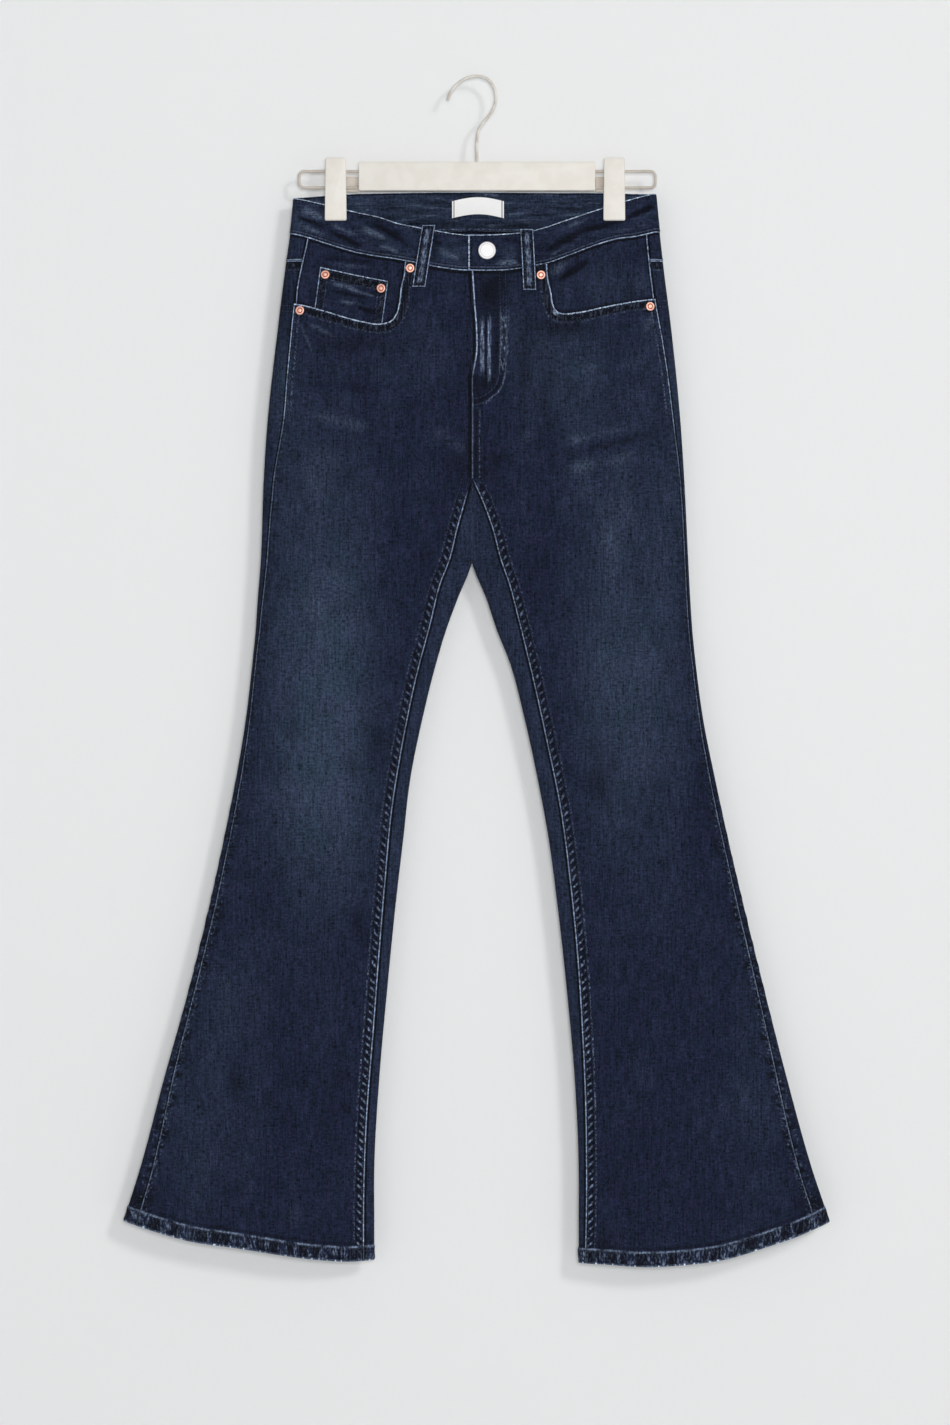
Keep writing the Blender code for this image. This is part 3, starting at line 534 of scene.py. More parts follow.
class Ply:
    """A grid of points on the cloth, with what is known at each of them."""

    def __init__(self, side, tau, below, cut=SEAM / 2):
        self.side, self.tau, self.below, self.notes = side, tau, below, {}
        points = surface(side, tau, below, cut)
        self.normal = outward(side, tau, below, cut)
        self.crease = creases(tau, points[..., 0], below)
        held = 1.0 - 0.95 * pinch(points[..., 0], below)
        self.points = points + self.normal * (self.crease * held)[..., None]
        gaps = np.linalg.norm(np.diff(points, axis=1), axis=-1)
        self.run = np.concatenate([np.zeros((len(gaps), 1)), np.cumsum(gaps, axis=1)], axis=1)
        self.rest = self.run[:, -1:] - self.run
        self.lift = np.zeros(below.shape)
        self.thickness = np.full(below.shape, CLOTH)

    @property
    def x(self):
        return self.points[..., 0]

    def outer(self, more=0.0):
        return self.points + self.normal * (self.lift + more)[..., None]

    def inner(self):
        return self.points - self.normal * self.thickness[..., None]

    def follow(self, away, distance, down=True):
        """Points and normals where a distance is reached: in each row, or in each column."""
        away, places, normals = (np.moveaxis(part, 1, 0) if down else part
                                 for part in (away, self.outer(0.15), self.normal))
        over = (away[:-1] - distance) * (away[1:] - distance) <= 0
        first = np.argmax(over, axis=0)
        found = np.flatnonzero(over.any(axis=0))
        low, high = (first[found], found), (first[found] + 1, found)
        gap = away[high] - away[low]
        share = ((distance - away[low]) / np.where(gap == 0, 1, gap))[:, None]
        return (places[low] * (1 - share) + places[high] * share,
                normals[low] * (1 - share) + normals[high] * share)


def sewn_edge(away, run, height, seed):
    """The roll of a felled seam's edge, a little uneven."""
    return height * (1 + 0.3 * wobble(run / 11, run * 0, seed)) * bell(away, 1.0, 1.1)


def puckers(away, run, period, low, high, height, slant, seed):
    """Ticks of gathered cloth along a seam, between two distances from it."""
    mask = ease((away - low) / 1.5) * ease((high - away) / 2.5)
    phase = (run + slant * away) / period + 0.35 * wobble(run / 21, run * 0, seed)
    size = 0.75 + 0.5 * wobble(run / 33, run * 0, seed + 4)
    return height * size * mask * np.sin(2 * np.pi * phase)


def linked(name, data):
    """A new object in the scene."""
    thing = bpy.data.objects.new(name, data)
    bpy.context.scene.collection.objects.link(thing)
    return thing


def cloth_object(name, points, faces, look):
    """An object of its own from points in millimetres, its faces turned outwards."""
    mesh = bpy.data.meshes.new(name)
    mesh.from_pydata(points * MM, [], faces)
    mesh.materials.append(look)
    thing = linked(name, mesh)
    face_out(thing)
    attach(thing, "root")
    return thing


def wall(name, plies, look):
    """A closed wall of cloth from its plies. Plies that share points are one."""
    outs, ins, notes, rings, count = [], [], [], [], 0
    names = sorted(plies[0].notes)
    for ply in plies:
        index = np.arange(ply.below.size).reshape(ply.below.shape) + count
        count += ply.below.size
        outs.append(ply.outer().reshape(-1, 3))
        ins.append(ply.inner().reshape(-1, 3))
        notes.append(np.stack([np.broadcast_to(ply.notes[n], ply.below.shape).ravel()
                               for n in names], axis=1))
        ring = np.stack([index[:-1, :-1], index[:-1, 1:], index[1:, 1:], index[1:, :-1]], axis=-1)
        rings.append(ring.reshape(-1, 4))
    outs, ins, notes, rings = (np.concatenate(part) for part in (outs, ins, notes, rings))
    _, first, same = np.unique(np.round(outs, 2), axis=0, return_index=True, return_inverse=True)
    outs, ins, notes, rings = outs[first], ins[first], notes[first], same.reshape(-1)[rings]
    values = np.concatenate([outs, ins, notes], axis=1)
    faces = [list(dict.fromkeys(ring)) for ring in rings.tolist()]
    if "trim" in names:
        values, faces = trimmed(values, faces, 6 + names.index("trim"))
    faces = [ring for ring in faces if len(ring) > 2]
    used = np.unique(np.concatenate([np.array(ring) for ring in faces]))
    order = np.full(len(values), -1)
    order[used] = np.arange(len(used))
    values = values[used]
    faces = [[int(order[corner]) for corner in ring] for ring in faces]
    edges = {(a, b) for ring in faces for a, b in zip(ring, ring[1:] + ring[:1])}
    size = len(values)
    rim = [(b, a, a + size, b + size) for a, b in edges if (b, a) not in edges]
    inside = [[corner + size for corner in reversed(ring)] for ring in faces]
    places = np.concatenate([values[:, :3], values[:, 3:6]])
    thing = cloth_object(name, places, faces + inside + rim, look)
    for column, note in enumerate(names):
        layer = thing.data.attributes.new(note, "FLOAT", "POINT")
        layer.data.foreach_set("value", np.tile(values[:, 6 + column], 2))
    bpy.ops.object.shade_smooth_by_angle(angle=math.radians(50))
    return thing


def trimmed(values, faces, column):
    """Cuts away what has a negative value in a column."""
    values = [row for row in values]
    crossings, kept = {}, []
    for ring in faces:
        signs = [values[corner][column] >= 0 for corner in ring]
        if all(signs):
            kept.append(ring)
        elif any(signs):
            new = []
            for a, b in zip(ring, ring[1:] + ring[:1]):
                high, low = values[a][column], values[b][column]
                if high >= 0:
                    new.append(a)
                if (high >= 0) != (low >= 0):
                    key = (min(a, b), max(a, b))
                    if key not in crossings:
                        share = high / (high - low)
                        crossings[key] = len(values)
                        values.append(values[a] * (1 - share) + values[b] * share)
                    new.append(crossings[key])
            kept.append(new)
    return np.array(values), kept


def alone(thing):
    """Leaves one object selected and active."""
    bpy.ops.object.select_all(action="DESELECT")
    thing.select_set(True)
    bpy.context.view_layer.objects.active = thing


def face_out(thing):
    """Turns a mesh's faces outwards."""
    alone(thing)
    bpy.ops.object.mode_set(mode="EDIT")
    bpy.ops.mesh.select_all(action="SELECT")
    bpy.ops.mesh.normals_make_consistent(inside=False)
    bpy.ops.object.mode_set(mode="OBJECT")


# Looks

class Value:
    """A number that varies over a surface. Sums on it add Math nodes."""

    def __init__(self, look, socket):
        self.look, self.socket = look, socket

    def math(self, operation, *others):
        return self.look.node("ShaderNodeMath", {"operation": operation}, self, *others)[0]

    def __add__(self, other):
        return self.math("ADD", other)

    def __sub__(self, other):
        return self.math("SUBTRACT", other)

    def __rsub__(self, other):
        return self.look.node("ShaderNodeMath", {"operation": "SUBTRACT"}, other, self)[0]

    def __mul__(self, other):
        return self.math("MULTIPLY", other)

    def __truediv__(self, other):
        return self.math("DIVIDE", other)

    def __or__(self, other):
        """The larger of the two."""
        return self.math("MAXIMUM", other)

    __radd__ = __add__
    __rmul__ = __mul__

    def clamped(self):
        return self.math("MINIMUM", 1.0) | 0.0

    def between(self, low, high):
        """0 up to low, 1 from high, and soft in between. Backwards if low is the higher."""
        if low > high:
            return 1.0 - self.between(high, low)
        settings = {"interpolation_type": "SMOOTHSTEP"}
        return self.look.node("ShaderNodeMapRange", settings, self, low, high)[0]

    def band(self, middle, spread):
        """1 at the middle, falling to 0 a spread away."""
        return (self - middle).math("ABSOLUTE").between(spread, spread * 0.25)


class Look:
    """A material with one Principled shader."""

    def __init__(self, name, roughness=0.5, metallic=0.0, **constants):
        self.material = bpy.data.materials.new(name)
        self.material.use_nodes = True
        self.tree = self.material.node_tree
        self.shader = self.tree.nodes["Principled BSDF"]
        self.set("Roughness", roughness)
        self.set("Metallic", metallic)
        for socket, value in constants.items():
            self.set(socket.replace("_", " "), value)

    def set(self, socket, value):
        """Gives a socket of the shader a constant or a link."""
        self.join(value, self.shader.inputs[socket])

    def join(self, value, socket):
        if isinstance(value, Value):
            self.tree.links.new(value.socket, socket)
        elif value is not None:
            socket.default_value = value

    def node(self, kind, settings, *values, **named):
        """Adds a node: its settings first, then the values or links of its sockets."""
        node = self.tree.nodes.new(kind)
        for setting, value in settings.items():
            setattr(node, setting, value)
        for socket, value in zip(node.inputs, values):
            self.join(value, socket)
        for socket, value in named.items():
            self.join(value, node.inputs[socket.replace("_", " ")])
        return [Value(self, socket) for socket in node.outputs if socket.enabled]

    def notes(self, names):
        """Numbers stored at the cloth's points."""
        for name in names.split():
            settings = {"attribute_name": name, "attribute_type": "GEOMETRY"}
            yield self.node("ShaderNodeAttribute", settings)[2]

    def note(self, name):
        return next(self.notes(name))

    def noise(self, place, scale, detail=2.0):
        return self.node("ShaderNodeTexNoise", {}, Vector=place, Scale=scale, Detail=detail)[0]

    def flecks(self, across, down, seed=0.0, detail=2.0):
        """Noise over lengths across and down the cloth, stretched by what divides them."""
        place = self.node("ShaderNodeCombineXYZ", {}, across, down, seed)[0]
        return self.noise(place, 1.0, detail)

    def mix(self, share, first, second):
        """A blend of two colours."""
        unused = (None,) * 5  # the sockets that blend numbers and vectors
        settings = {"data_type": "RGBA"}
        return self.node("ShaderNodeMix", settings, share, *unused, first, second)[0]

    def scaled(self, colour, factor):
        """A colour made lighter or darker by a number."""
        return self.node("ShaderNodeVectorMath", {"operation": "SCALE"}, colour, Scale=factor)[0]

    def bump(self, height, distance, strength=1.0):
        self.set("Normal", self.node("ShaderNodeBump", {}, Height=height, Strength=strength,
                                     Distance=distance * MM)[0])


def colour(red, green, blue):
    """A colour as the photo's own scale of 0 to 255 shows it, made linear."""
    linear = [((part / 255 + 0.055) / 1.055) ** 2.4 for part in (red, green, blue)]
    return (*linear, 1.0)


DEEP = colour(9, 11, 20)
INDIGO = colour(22, 30, 48)
PURPLISH = colour(27, 31, 54)
WASHED = colour(48, 58, 79)
GREENISH = colour(43, 57, 74)
PALE = colour(128, 145, 172)
BRIGHT = colour(196, 210, 222)
THREAD = colour(34, 42, 66)
THREAD_WORN = colour(62, 74, 102)
CREAM = colour(227, 223, 215)
CREAM_SHADE = colour(222, 217, 208)
# Cream in painted shade, and a deeper painted shade of it: the clips' inner blocks and the wire
# are painted in them, and the hook is clouded with the first.
CREAM_PAINTED_SHADE = colour(200, 191, 180)
CREAM_PAINTED_DEEP_SHADE = colour(188, 178, 166)
SILVER = colour(246, 245, 245)
SILVER_SHADE = colour(150, 142, 148)
LABEL_WHITE = colour(248, 248, 247)
LABEL_SHADE = colour(236, 236, 236)
LABEL_THREAD = colour(44, 47, 62)
WALL_PAINT = colour(232, 233, 233)
FLOOR_PAINT = colour(226, 227, 228)
COPPER = colour(255, 196, 174)
COPPER_SHADE = colour(132, 56, 44)


def denim(name, edges=(), grain="down", mottle=0.35, relief=0.5):
    """Washed stretch denim. edges says how the cloth is worn along each of its edges, and where
    shade is painted beside them.
    """
    look = Look(name, roughness=0.92, Sheen_Weight=0.03, Sheen_Roughness=0.5,
                Specular_IOR_Level=0.12)
    across, down = look.notes("across below")
    rub = look.flecks(across / 2.6, down / 2.6, 5.0, 3.0)
    if grain == "across":
        across, down = down, across
    slub = look.flecks(across / 2.2, down / 26.0)
    yarn = look.flecks(across / 1.5, down / 3.6, 3.0)
    weft = look.flecks(across / 6.0, down / 1.7, 7.0)
    cloud = look.flecks(across / 30.0, down / 44.0, 1.0, 3.0)
    blotch = look.flecks(across / 8.0, down / 13.0, 8.0, 3.0)
    # The creases' troughs are painted darker, as painted shade, and their crests lighter, partly
    # wear and partly painted highlight.
    crease = look.note("crease")
    wear_and_ridge_light = look.note("fade") + crease * 0.16 * relief
    wear_and_ridge_light = wear_and_ridge_light + (cloud - 0.5) * 0.42 + (blotch - 0.5) * mottle
    unworn = look.mix(blotch.between(0.4, 0.62), INDIGO, PURPLISH)
    washed = look.mix(cloud.between(0.35, 0.65), GREENISH, WASHED)
    base = look.mix(wear_and_ridge_light.clamped(), unworn, washed)
    # shade gathers the painted shade of crease troughs and edges, and the dark spots, all mixed
    # towards DEEP.
    shade = (crease.between(-0.12, -1.3) | look.note("smudge")) * 0.88
    light = crease.between(0.25, 1.9) * 0.26 * relief
    for edge in edges:
        dark_here, light_here = edge(look, rub)
        shade = shade | dark_here
        light = light | light_here
    base = look.mix((shade * 0.96).clamped(), base, DEEP)
    worn = light * (1.0 + (yarn - 0.5) * 1.6)
    base = look.mix(worn.clamped(), base, PALE)
    base = look.mix((worn - 1.0).clamped(), base, BRIGHT)
    grain = (slub - 0.5) * 1.6 + (yarn - 0.5) * 2.2 + (weft - 0.5) * 1.8
    look.set("Base Color", look.scaled(base, grain + 1.0 | 0.2))
    look.bump(slub * 0.4 + yarn * 0.6, 0.35, 0.6)
    return look.material


def felled(start):
    """The inner leg's seam: a thin bright edge, then a dark band with short pale ticks."""
    def edge(look, rub):
        away, down = look.notes("inner below")
        here = down.between(start - 5.0, start + 5.0)
        here = here * (look.note("hem").between(HEM_BAND - 1.0, HEM_BAND + 1.0) * 0.8 + 0.2)
        low = down.between(680.0, 960.0)
        line = away.band(0.7, 0.85) * (rub.between(0.25, 0.5) * 0.4 + 0.5) * (low * 0.3 + 0.8)
        drift = look.flecks(0.0, down / 19.0, 2.0) * 7.0
        phase = (down + away * 0.9) * (2 * math.pi / 8.0) + drift
        tick = phase.math("SINE").between(0.2, 0.95)
        rough = look.flecks(away / 3.0, down / 3.4, 11.0)
        ticks = tick * away.band(5.0, 3.2) * rough.between(0.36, 0.6) * (low * 0.34 + 0.36)
        inside = away.between(1.2, 1.9) * away.between(11.5, 7.0)
        dark = inside * (rough.between(0.66, 0.34) * 0.5 + 0.5) * (1.0 - tick * 0.7)
        row = away.band(10.4, 1.2) * rub.between(0.45, 0.65) * (low * 0.2 + 0.16)
        return dark * here, (line | ticks | row) * here
    return edge


def folded(note, line=0.6, shadow=(1.1, 2.8), strength=1.0, soft=0.7):
    """A turned edge: worn bright on the fold, with a painted shadow line beside it."""
    def edge(look, rub):
        away = look.note(note) + (rub - 0.5) * 0.9
        bright = away.band(line, soft) * (rub.between(0.26, 0.54) * 0.6 + 0.5) * strength
        dark = away.between(shadow[0], shadow[0] + 0.5) * away.between(shadow[1], shadow[1] - 0.9)
        return dark, bright
    return edge


def puckered(note, low, high, seed=0.0, strength=1.0, slant=0.0):
    """A dark gathered band beside a row of stitches, with pale streaks over it."""
    def edge(look, rub):
        away, across = look.note(note), look.note("across") + look.note("below") * slant
        inside = away.between(low, low + 1.4) * away.between(high, high - 3.0)
        streak = look.flecks(across / 2.2, away / 7.0, seed).between(0.46, 0.66)
        row = away.band(high - 0.6, 1.0) * rub.between(0.44, 0.66) * 0.2
        return inside * (1.0 - streak * 0.22) * strength, inside * streak * 0.1 | row
    return edge


def frayed(look, rub):
    """The pocket mouth's edge, rubbed white, with a frayed knot at the right one's corner."""
    across, down = look.notes("across below")
    away = look.note("mouth") + (rub - 0.5) * 1.5
    low = down.between(206.0, 232.0)
    bright = away.band(0.6, 0.95) * (rub.between(0.25, 0.5) * 0.7 + 0.4) * (low * 0.4 + 0.85)
    off_x, off_below = across - FRAYED_KNOT[0], down - FRAYED_KNOT[1]
    knot = (off_x.math("POWER", 2.0) + off_below.math("POWER", 2.0)).between(14.0, 3.0)
    return away.between(1.4, 2.0) * away.between(4.4, 2.6), bright | knot * 0.9


def hemmed(look, rub):
    """The hem: roped patches, a rubbed upper row and a bitten lower edge."""
    away, across = look.notes("hem across")
    inside = away.between(HEM_BAND + 0.6, HEM_BAND - 0.6)
    patch = look.flecks(across / 10.0, away / 60.0, 4.0, 1.0).between(0.44, 0.54)
    worn = look.flecks(across / 20.0, 2.0, detail=1.0).between(0.36, 0.56)
    row = away.band(HEM_BAND - 0.6, 1.5) * (rub.between(0.32, 0.56) * 0.7 + 0.3) * worn * 0.6
    streak = look.flecks(across / 1.8, away / 6.0, 6.0, 3.0).between(0.46, 0.68)
    nick = look.flecks(across / 4.2, 9.0, detail=1.0).between(0.54, 0.64)
    bite = away.between(2.4, 0.4) * (nick * 1.4 + 0.3)
    light = row | bite | streak * inside * (1.0 - patch * 0.8) * 0.46
    under = away.band(HEM_BAND + 3.0, 2.4) * 0.45
    beside = away.band(HEM_BAND - 3.0, 1.6) * 0.6
    return inside * patch * 0.85 | under | beside, light


def outer_seam(look, rub):
    """The side seam: stitched flat above, and gathered in dark patches down the flare."""
    away, down = look.notes("outer below")
    low = down.between(560.0, 900.0)
    here = look.note("hem").between(HEM_BAND - 1.0, HEM_BAND + 1.0) * 0.8 + 0.2
    line = here * away.band(0.6, 0.8) * (rub.between(0.25, 0.5) * 0.6 + 0.4)
    line = line * (down.between(352.0, 332.0) * 0.62 + 0.34 + (rub - 0.4) * low * 0.7)
    patch = look.flecks(down / 5.5, away / 16.0, 9.0).between(0.47, 0.6)
    inside = away.between(13.0, 4.0) * away.between(0.8, 1.8)
    stitched = down.between(345.0, 330.0) * away.band(6.3, 1.0) * rub.between(0.42, 0.62) * 0.28
    pale = look.flecks(down / 2.4, away / 3.6, 4.0).between(0.52, 0.7)
    pale = pale * away.between(8.0, 3.0) * (low * 0.22 + 0.06)
    dark = inside * patch * (low * 0.5 + 0.42)
    beside = away.band(2.0, 1.1) * 0.6
    return dark | beside, line | stitched | pale


def gathered(look, rub):
    """The side seam's other half: dark patches and pale flecks down the flare."""
    away, down = look.notes("outer below")
    patch = look.flecks(down / 6.0, away / 16.0, 19.0).between(0.46, 0.6)
    fleck = look.flecks(down / 3.0, away / 4.0, 14.0).between(0.52, 0.7)
    near = away.between(11.0, 4.0) * down.between(560.0, 900.0)
    return near * patch * 0.8, near * fleck * (1.0 - patch) * 0.2


def fly_front(look, rub):
    """The fly: a rubbed edge, the curved double row and the ridges over the zip, with painted
    shade beside its edge and in the hollows and gaps between them.
    """
    away, jay, down, across = look.notes("fly jay below across")
    top = down.between(300.0, 284.0)
    line = away.band(0.5, 0.95) * (rub.between(0.25, 0.5) * 0.5 + 0.5) * (top * 0.9 + 0.3)
    here = down.between(226.0, 250.0)
    curve = down.between(286.0, 304.0)
    bend = across.between(4.0, 18.0) * 0.9 + 0.1
    rows = jay.band(-0.6, 1.1) * (curve * 0.26 + 0.14) * ((bend - 1.0) * curve + 1.0)
    rows = rows | jay.band(-6.4, 1.1) * (0.3 - curve * 0.27)
    rows = rows * (rub.between(0.34, 0.58) * 0.8 + 0.2) * here * down.between(334.0, 330.0)
    fray = look.flecks(across / 1.5, down / 14.0, 6.0, 3.0).between(0.36, 0.62)
    ridges = across.band(5.2, 2.9) * down.between(238.0, 252.0) * down.between(302.0, 286.0) * 0.62
    other = across.band(12.2, 2.4) * down.between(236.0, 256.0) * down.between(310.0, 294.0) * 0.66
    ridges = (ridges | other) * (fray * 0.8 + 0.2)
    dash = look.flecks(across / 1.9, down / 6.5, 3.0, 3.0).between(0.48, 0.64)
    dash = dash * across.band(27.0, 6.0) * down.between(230.0, 242.0) * down.between(302.0, 290.0)
    dark = away.band(-2.4, 2.2) * (top * 0.5 + 0.5)
    gap = across.band(8.8, 1.9) * 0.6 | across.band(19.5, 5.0) * 0.5
    gap = gap * down.between(232.0, 246.0) * down.between(312.0, 296.0)
    hollow = jay.band(-3.6, 2.4) * here * down.between(332.0, 324.0) * 0.8
    pleat = look.flecks(across / 1.8, down / 20.0, 8.0).between(0.6, 0.42)
    foot = down.between(294.0, 306.0) * away.between(0.5, 2.0) * jay.between(-0.5, -3.0)
    hollow = hollow | foot * (pleat * 0.6 + 0.2)
    lower = down.between(331.0, 338.0)
    seam = away.band(7.6, 1.0) * rub.between(0.4, 0.62) * lower * 0.24
    dark = dark | away.band(4.0, 3.4) * lower * 0.7
    return dark | hollow | gap, line | rows | ridges | dash * 0.44 | seam


def mouth_shadow(look, rub):
    """Cloth just inside the pocket's edge made darker: partly unfaded cloth, partly painted shadow
    of the mouth's edge.
    """
    return look.note("mouth").between(5.0, 0.5) * 0.75, rub * 0.0


def loop_wear(look, rub):
    """A mottled pale stretch down the middle of a belt loop, between two dark sides."""
    across, down = look.notes("across below")
    middle = across.band(BELT_LOOP_WIDTH / 2, 4.0)
    fray = look.flecks(across / 2.0, down / 7.0, 4.0, 3.0).between(0.38, 0.66)
    pale = middle * (fray * 0.5 + 0.04) * look.note("end").between(2.0, 7.0)
    return (1.0 - middle) * 0.9, pale


def inner_band(look, rub):
    """The band's inner face behind the waist: a row of stitches, and soft level creases painted as
    shade and highlight.
    """
    low, across = look.notes("inner_low across")
    level = look.flecks(across / 34.0, low / 5.0, 2.0, 3.0)
    behind = look.note("rear")
    row = low.band(1.6, 0.8) * rub.between(0.4, 0.6) * 0.4
    pale = (level.between(0.52, 0.72) * 0.16 + row) * behind
    return level.between(0.46, 0.34) * behind * 0.6, pale


def painted(name, first, second, roughness, **constants):
    """A hard finish of two near colours, softly clouded and faintly pitted."""
    look = Look(name, roughness, **constants)
    place = look.node("ShaderNodeTexCoord", {})[3]
    cloud = look.noise(place, 70.0, 3.0)
    pits = look.noise(place, 1500.0, 1.0)
    look.set("Base Color", look.mix(cloud.between(0.35, 0.65), first, second))
    look.bump(pits, 0.03, 0.4)
    return look.material


# Soft spots of the wash: x, below, how wide, how tall and how pale
FADES = {
    "front": (
        (-137, 540, 34, 150, 0.40),
        (-152, 690, 46, 120, 0.78),
        (-165, 560, 62, 260, 0.26),
        (-190, 500, 30, 260, 0.20),
        (-240, 960, 34, 150, 0.20),
        (-290, 1010, 34, 150, 0.30),
        (126, 480, 32, 150, 0.18),
        (143, 630, 44, 130, 0.50),
        (150, 560, 60, 260, 0.18),
        (190, 480, 30, 270, 0.28),
        (280, 1010, 34, 170, 0.22),
        (86, 300, 46, 54, 0.5),
        (40, 250, 12, 40, 0.30),
        (-60, 280, 44, 46, 0.22),
        (130, 205, 36, 26, 0.26),
        (164, 206, 8, 9, 0.35),
        (-178, 146, 10, 14, 0.4),
        (-100, 163, 60, 9, 0.1),
        (110, 160, 40, 10, 0.12),
        (-30, 178, 26, 12, 0.30),
        (-196, 300, 9, 60, 0.45),
        (201, 300, 8, 60, 0.40),
    ),
    "back": (
        (-110, 420, 60, 160, 0.30),
        (100, 420, 60, 160, 0.30),
        (-140, 660, 44, 120, 0.30),
        (150, 660, 44, 120, 0.30),
    ),
}
# Dark places: some that the wash didn't reach, and some painted shadow, as beside the belt loops
DARK_SPOTS_AND_SHADOWS = {
    "front": (
        (-337, 1123, 16, 9, 1.0),
        (336, 1128, 16, 9, 1.0),
        (126, 1168, 9, 10, 0.8),
        (-112, 1164, 6, 8, 0.6),
        (13, 220, 14, 20, 0.95),
        (22, 205, 12, 9, 0.5),
        (7, 311, 12, 12, 0.6),
        (22, 256, 4, 26, 0.5),
        (92, 252, 34, 9, 0.65),
        (70, 300, 12, 60, 0.35),
        (46, 290, 6, 60, 0.55),
        (-5, 392, 24, 26, 0.55),
        (-130, 268, 50, 11, 0.45),
        (-5, 196, 7, 8, 0.6),
        (196, 214, 4, 40, 0.6),
        (-196, 214, 4, 40, 0.6),
        (154, 213, 4, 13, 0.6),
        (-100, 240, 5, 14, 0.5),
        (-58, 190, 4, 22, 0.75),
        (-42, 176, 3, 20, 0.6),
        (42, 180, 3, 20, 0.6),
        (62, 193, 5, 20, 0.75),
        (82, 182, 12, 16, 0.6),
        (-76, 236, 6, 12, 0.8),
    ),
    "back": (
        (-34, 146, 26, 5, 0.7),
        (44, 148, 30, 5, 0.7),
        (-5, 128, 24, 5, 0.5),
    ),
}

# Darker cloth round each rivet: as wide, as tall, as dark
RIVET_DARKENING = (5.66, 5.66, 1.9)
DARK_SPOTS_AND_SHADOWS["front"] += tuple((*place, *RIVET_DARKENING) for place in RIVETS.values())


def wear_and_shade_at(spots, tau, x, below):
    """How pale or dark soft spots make the cloth at points of x and below."""
    much = np.zeros(x.shape)
    for here, (x0, below0, wide, tall, amount) in each_spot(spots, tau):
        near = np.exp(-(((x - x0) / wide) ** 2) - ((below - below0) / tall) ** 2)
        much += here * amount * near
    return much


# Cloth pieces

STITCH = {"length": 2.5, "pitch": 3.4, "width": 0.55, "height": 0.3, "sunk": 0.2}
THREAD_LOOK = painted("thread", THREAD, THREAD_WORN, 0.6, Sheen_Weight=0.1)


def beside(path, aside, lift):
    """A line on the front that runs beside a path of x and below."""
    path = np.array(path, dtype=float)
    ahead = np.gradient(path, axis=0)
    ahead = ahead / np.linalg.norm(ahead, axis=1, keepdims=True)
    x, below = (path + aside * ahead[:, ::-1] * (-1, 1)).T[:, None]
    ply = on_cloth("front", x, below)
    return ply.points[0] + ply.normal[0] * lift, ply.normal[0]


def sewn(name, lines):
    """Thread along lines on the cloth, a short spindle for each stitch."""
    corners, half = [], STITCH["length"] / 2
    for places, normals in lines:
        if len(places) < 3:
            continue
        gaps = np.linalg.norm(np.diff(places, axis=0), axis=1)
        run = np.concatenate([[0], np.cumsum(gaps)])
        middle = np.arange(half + 0.5, run[-1] - half, STITCH["pitch"])
        middle = middle[gaps[np.clip(np.searchsorted(run, middle) - 1, 0, len(gaps) - 1)] < 9]
        first, centre, last = (
            np.stack([np.interp(middle + part, run, places[:, i]) for i in range(3)], axis=1)
            for part in (-half, 0, half))
        out = np.stack([np.interp(middle, run, normals[:, i]) for i in range(3)], axis=1)
        aside = np.cross(last - first, out) / STITCH["length"] * STITCH["width"] / 2
        sunk = out * STITCH["sunk"]
        corners.append(np.stack([first - sunk, last - sunk, centre + aside, centre - aside,
                                 centre + out * STITCH["height"], centre - sunk], axis=1))
    corners = np.concatenate(corners)
    shape = np.array([(0, 2, 4), (2, 1, 4), (1, 3, 4), (3, 0, 4),
                      (2, 0, 5), (1, 2, 5), (3, 1, 5), (0, 3, 5)])
    faces = (np.arange(len(corners))[:, None, None] * 6 + shape).reshape(-1, 3)
    thing = cloth_object(f"stitches_{name}", corners.reshape(-1, 3), faces.tolist(), THREAD_LOOK)
    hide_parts(name)


def spread(count, bunched=0.45):
    """Shares from 0 to 1, closer together towards both ends."""
    even = np.linspace(0, 1, count)
    return (1 - bunched) * even + bunched * (0.5 - 0.5 * np.cos(np.pi * even))


# How many columns or rows of points each stretch of cloth has
GRID = {"front": 62, "back": 60, "side": 9, "strip": 12, "hip_rows": 38, "hem_rows": 41,
        "yoke_rows": 24, "band_rows": 22, "band_front": 86, "band_back": 76}
# The same for the small pieces: columns and rows
SMALL_GRID = {"facing": (60, 48), "coin": (44, 36), "loop": (16, 36), "patch": (60, 64),
              "label": (34, 14)}
ROW_STEP = 2.3
# Rows of stitches: how far each runs from its seam or edge
ROWS = {
    "inner": (2.8, 9.6), "outer": (2.6, 7.6), "mouth": (2.6, 8.2), "fly": (0.6, 6.4),
    "hem": 12.4, "middle": (2.6, 8.4), "yoke": (2.6, 8.4), "band_low": 2.6, "band_high": 2.4,
    "band_end": 3.0, "coin_top": (2.8, 8.0), "coin_side": 2.6, "loop_side": 2.7,
    "loop_end": 2.6, "patch": (2.4, 7.6), "patch_top": (2.4, 15.0),
}
# Added to a distance where the edge that it is measured from isn't there
NO_EDGE, NO_SEAM, NO_ROW = 300.0, 400.0, 900.0
OUTER_ROWS_END = 345.0


def panel_rows(top):
    """A panel's lines from its top to its hem, and which of them is the crotch's."""
    hip = np.linspace(0, 1, GRID["hip_rows"])
    rows = [between(top, level(STRAIGHT), share) for share in hip]
    middle = np.arange(STRAIGHT + ROW_STEP, FLARE, ROW_STEP)
    for mark in (CROTCH, FORK):
        middle[np.argmin(abs(middle - mark))] = mark
    rows += [level(below) for below in middle]
    hem = np.linspace(0, 1, GRID["hem_rows"])
    rows += [between(level(FLARE), hem_line, share) for share in hem]
    return rows, len(hip) + int(np.argmin(abs(middle - CROTCH)))


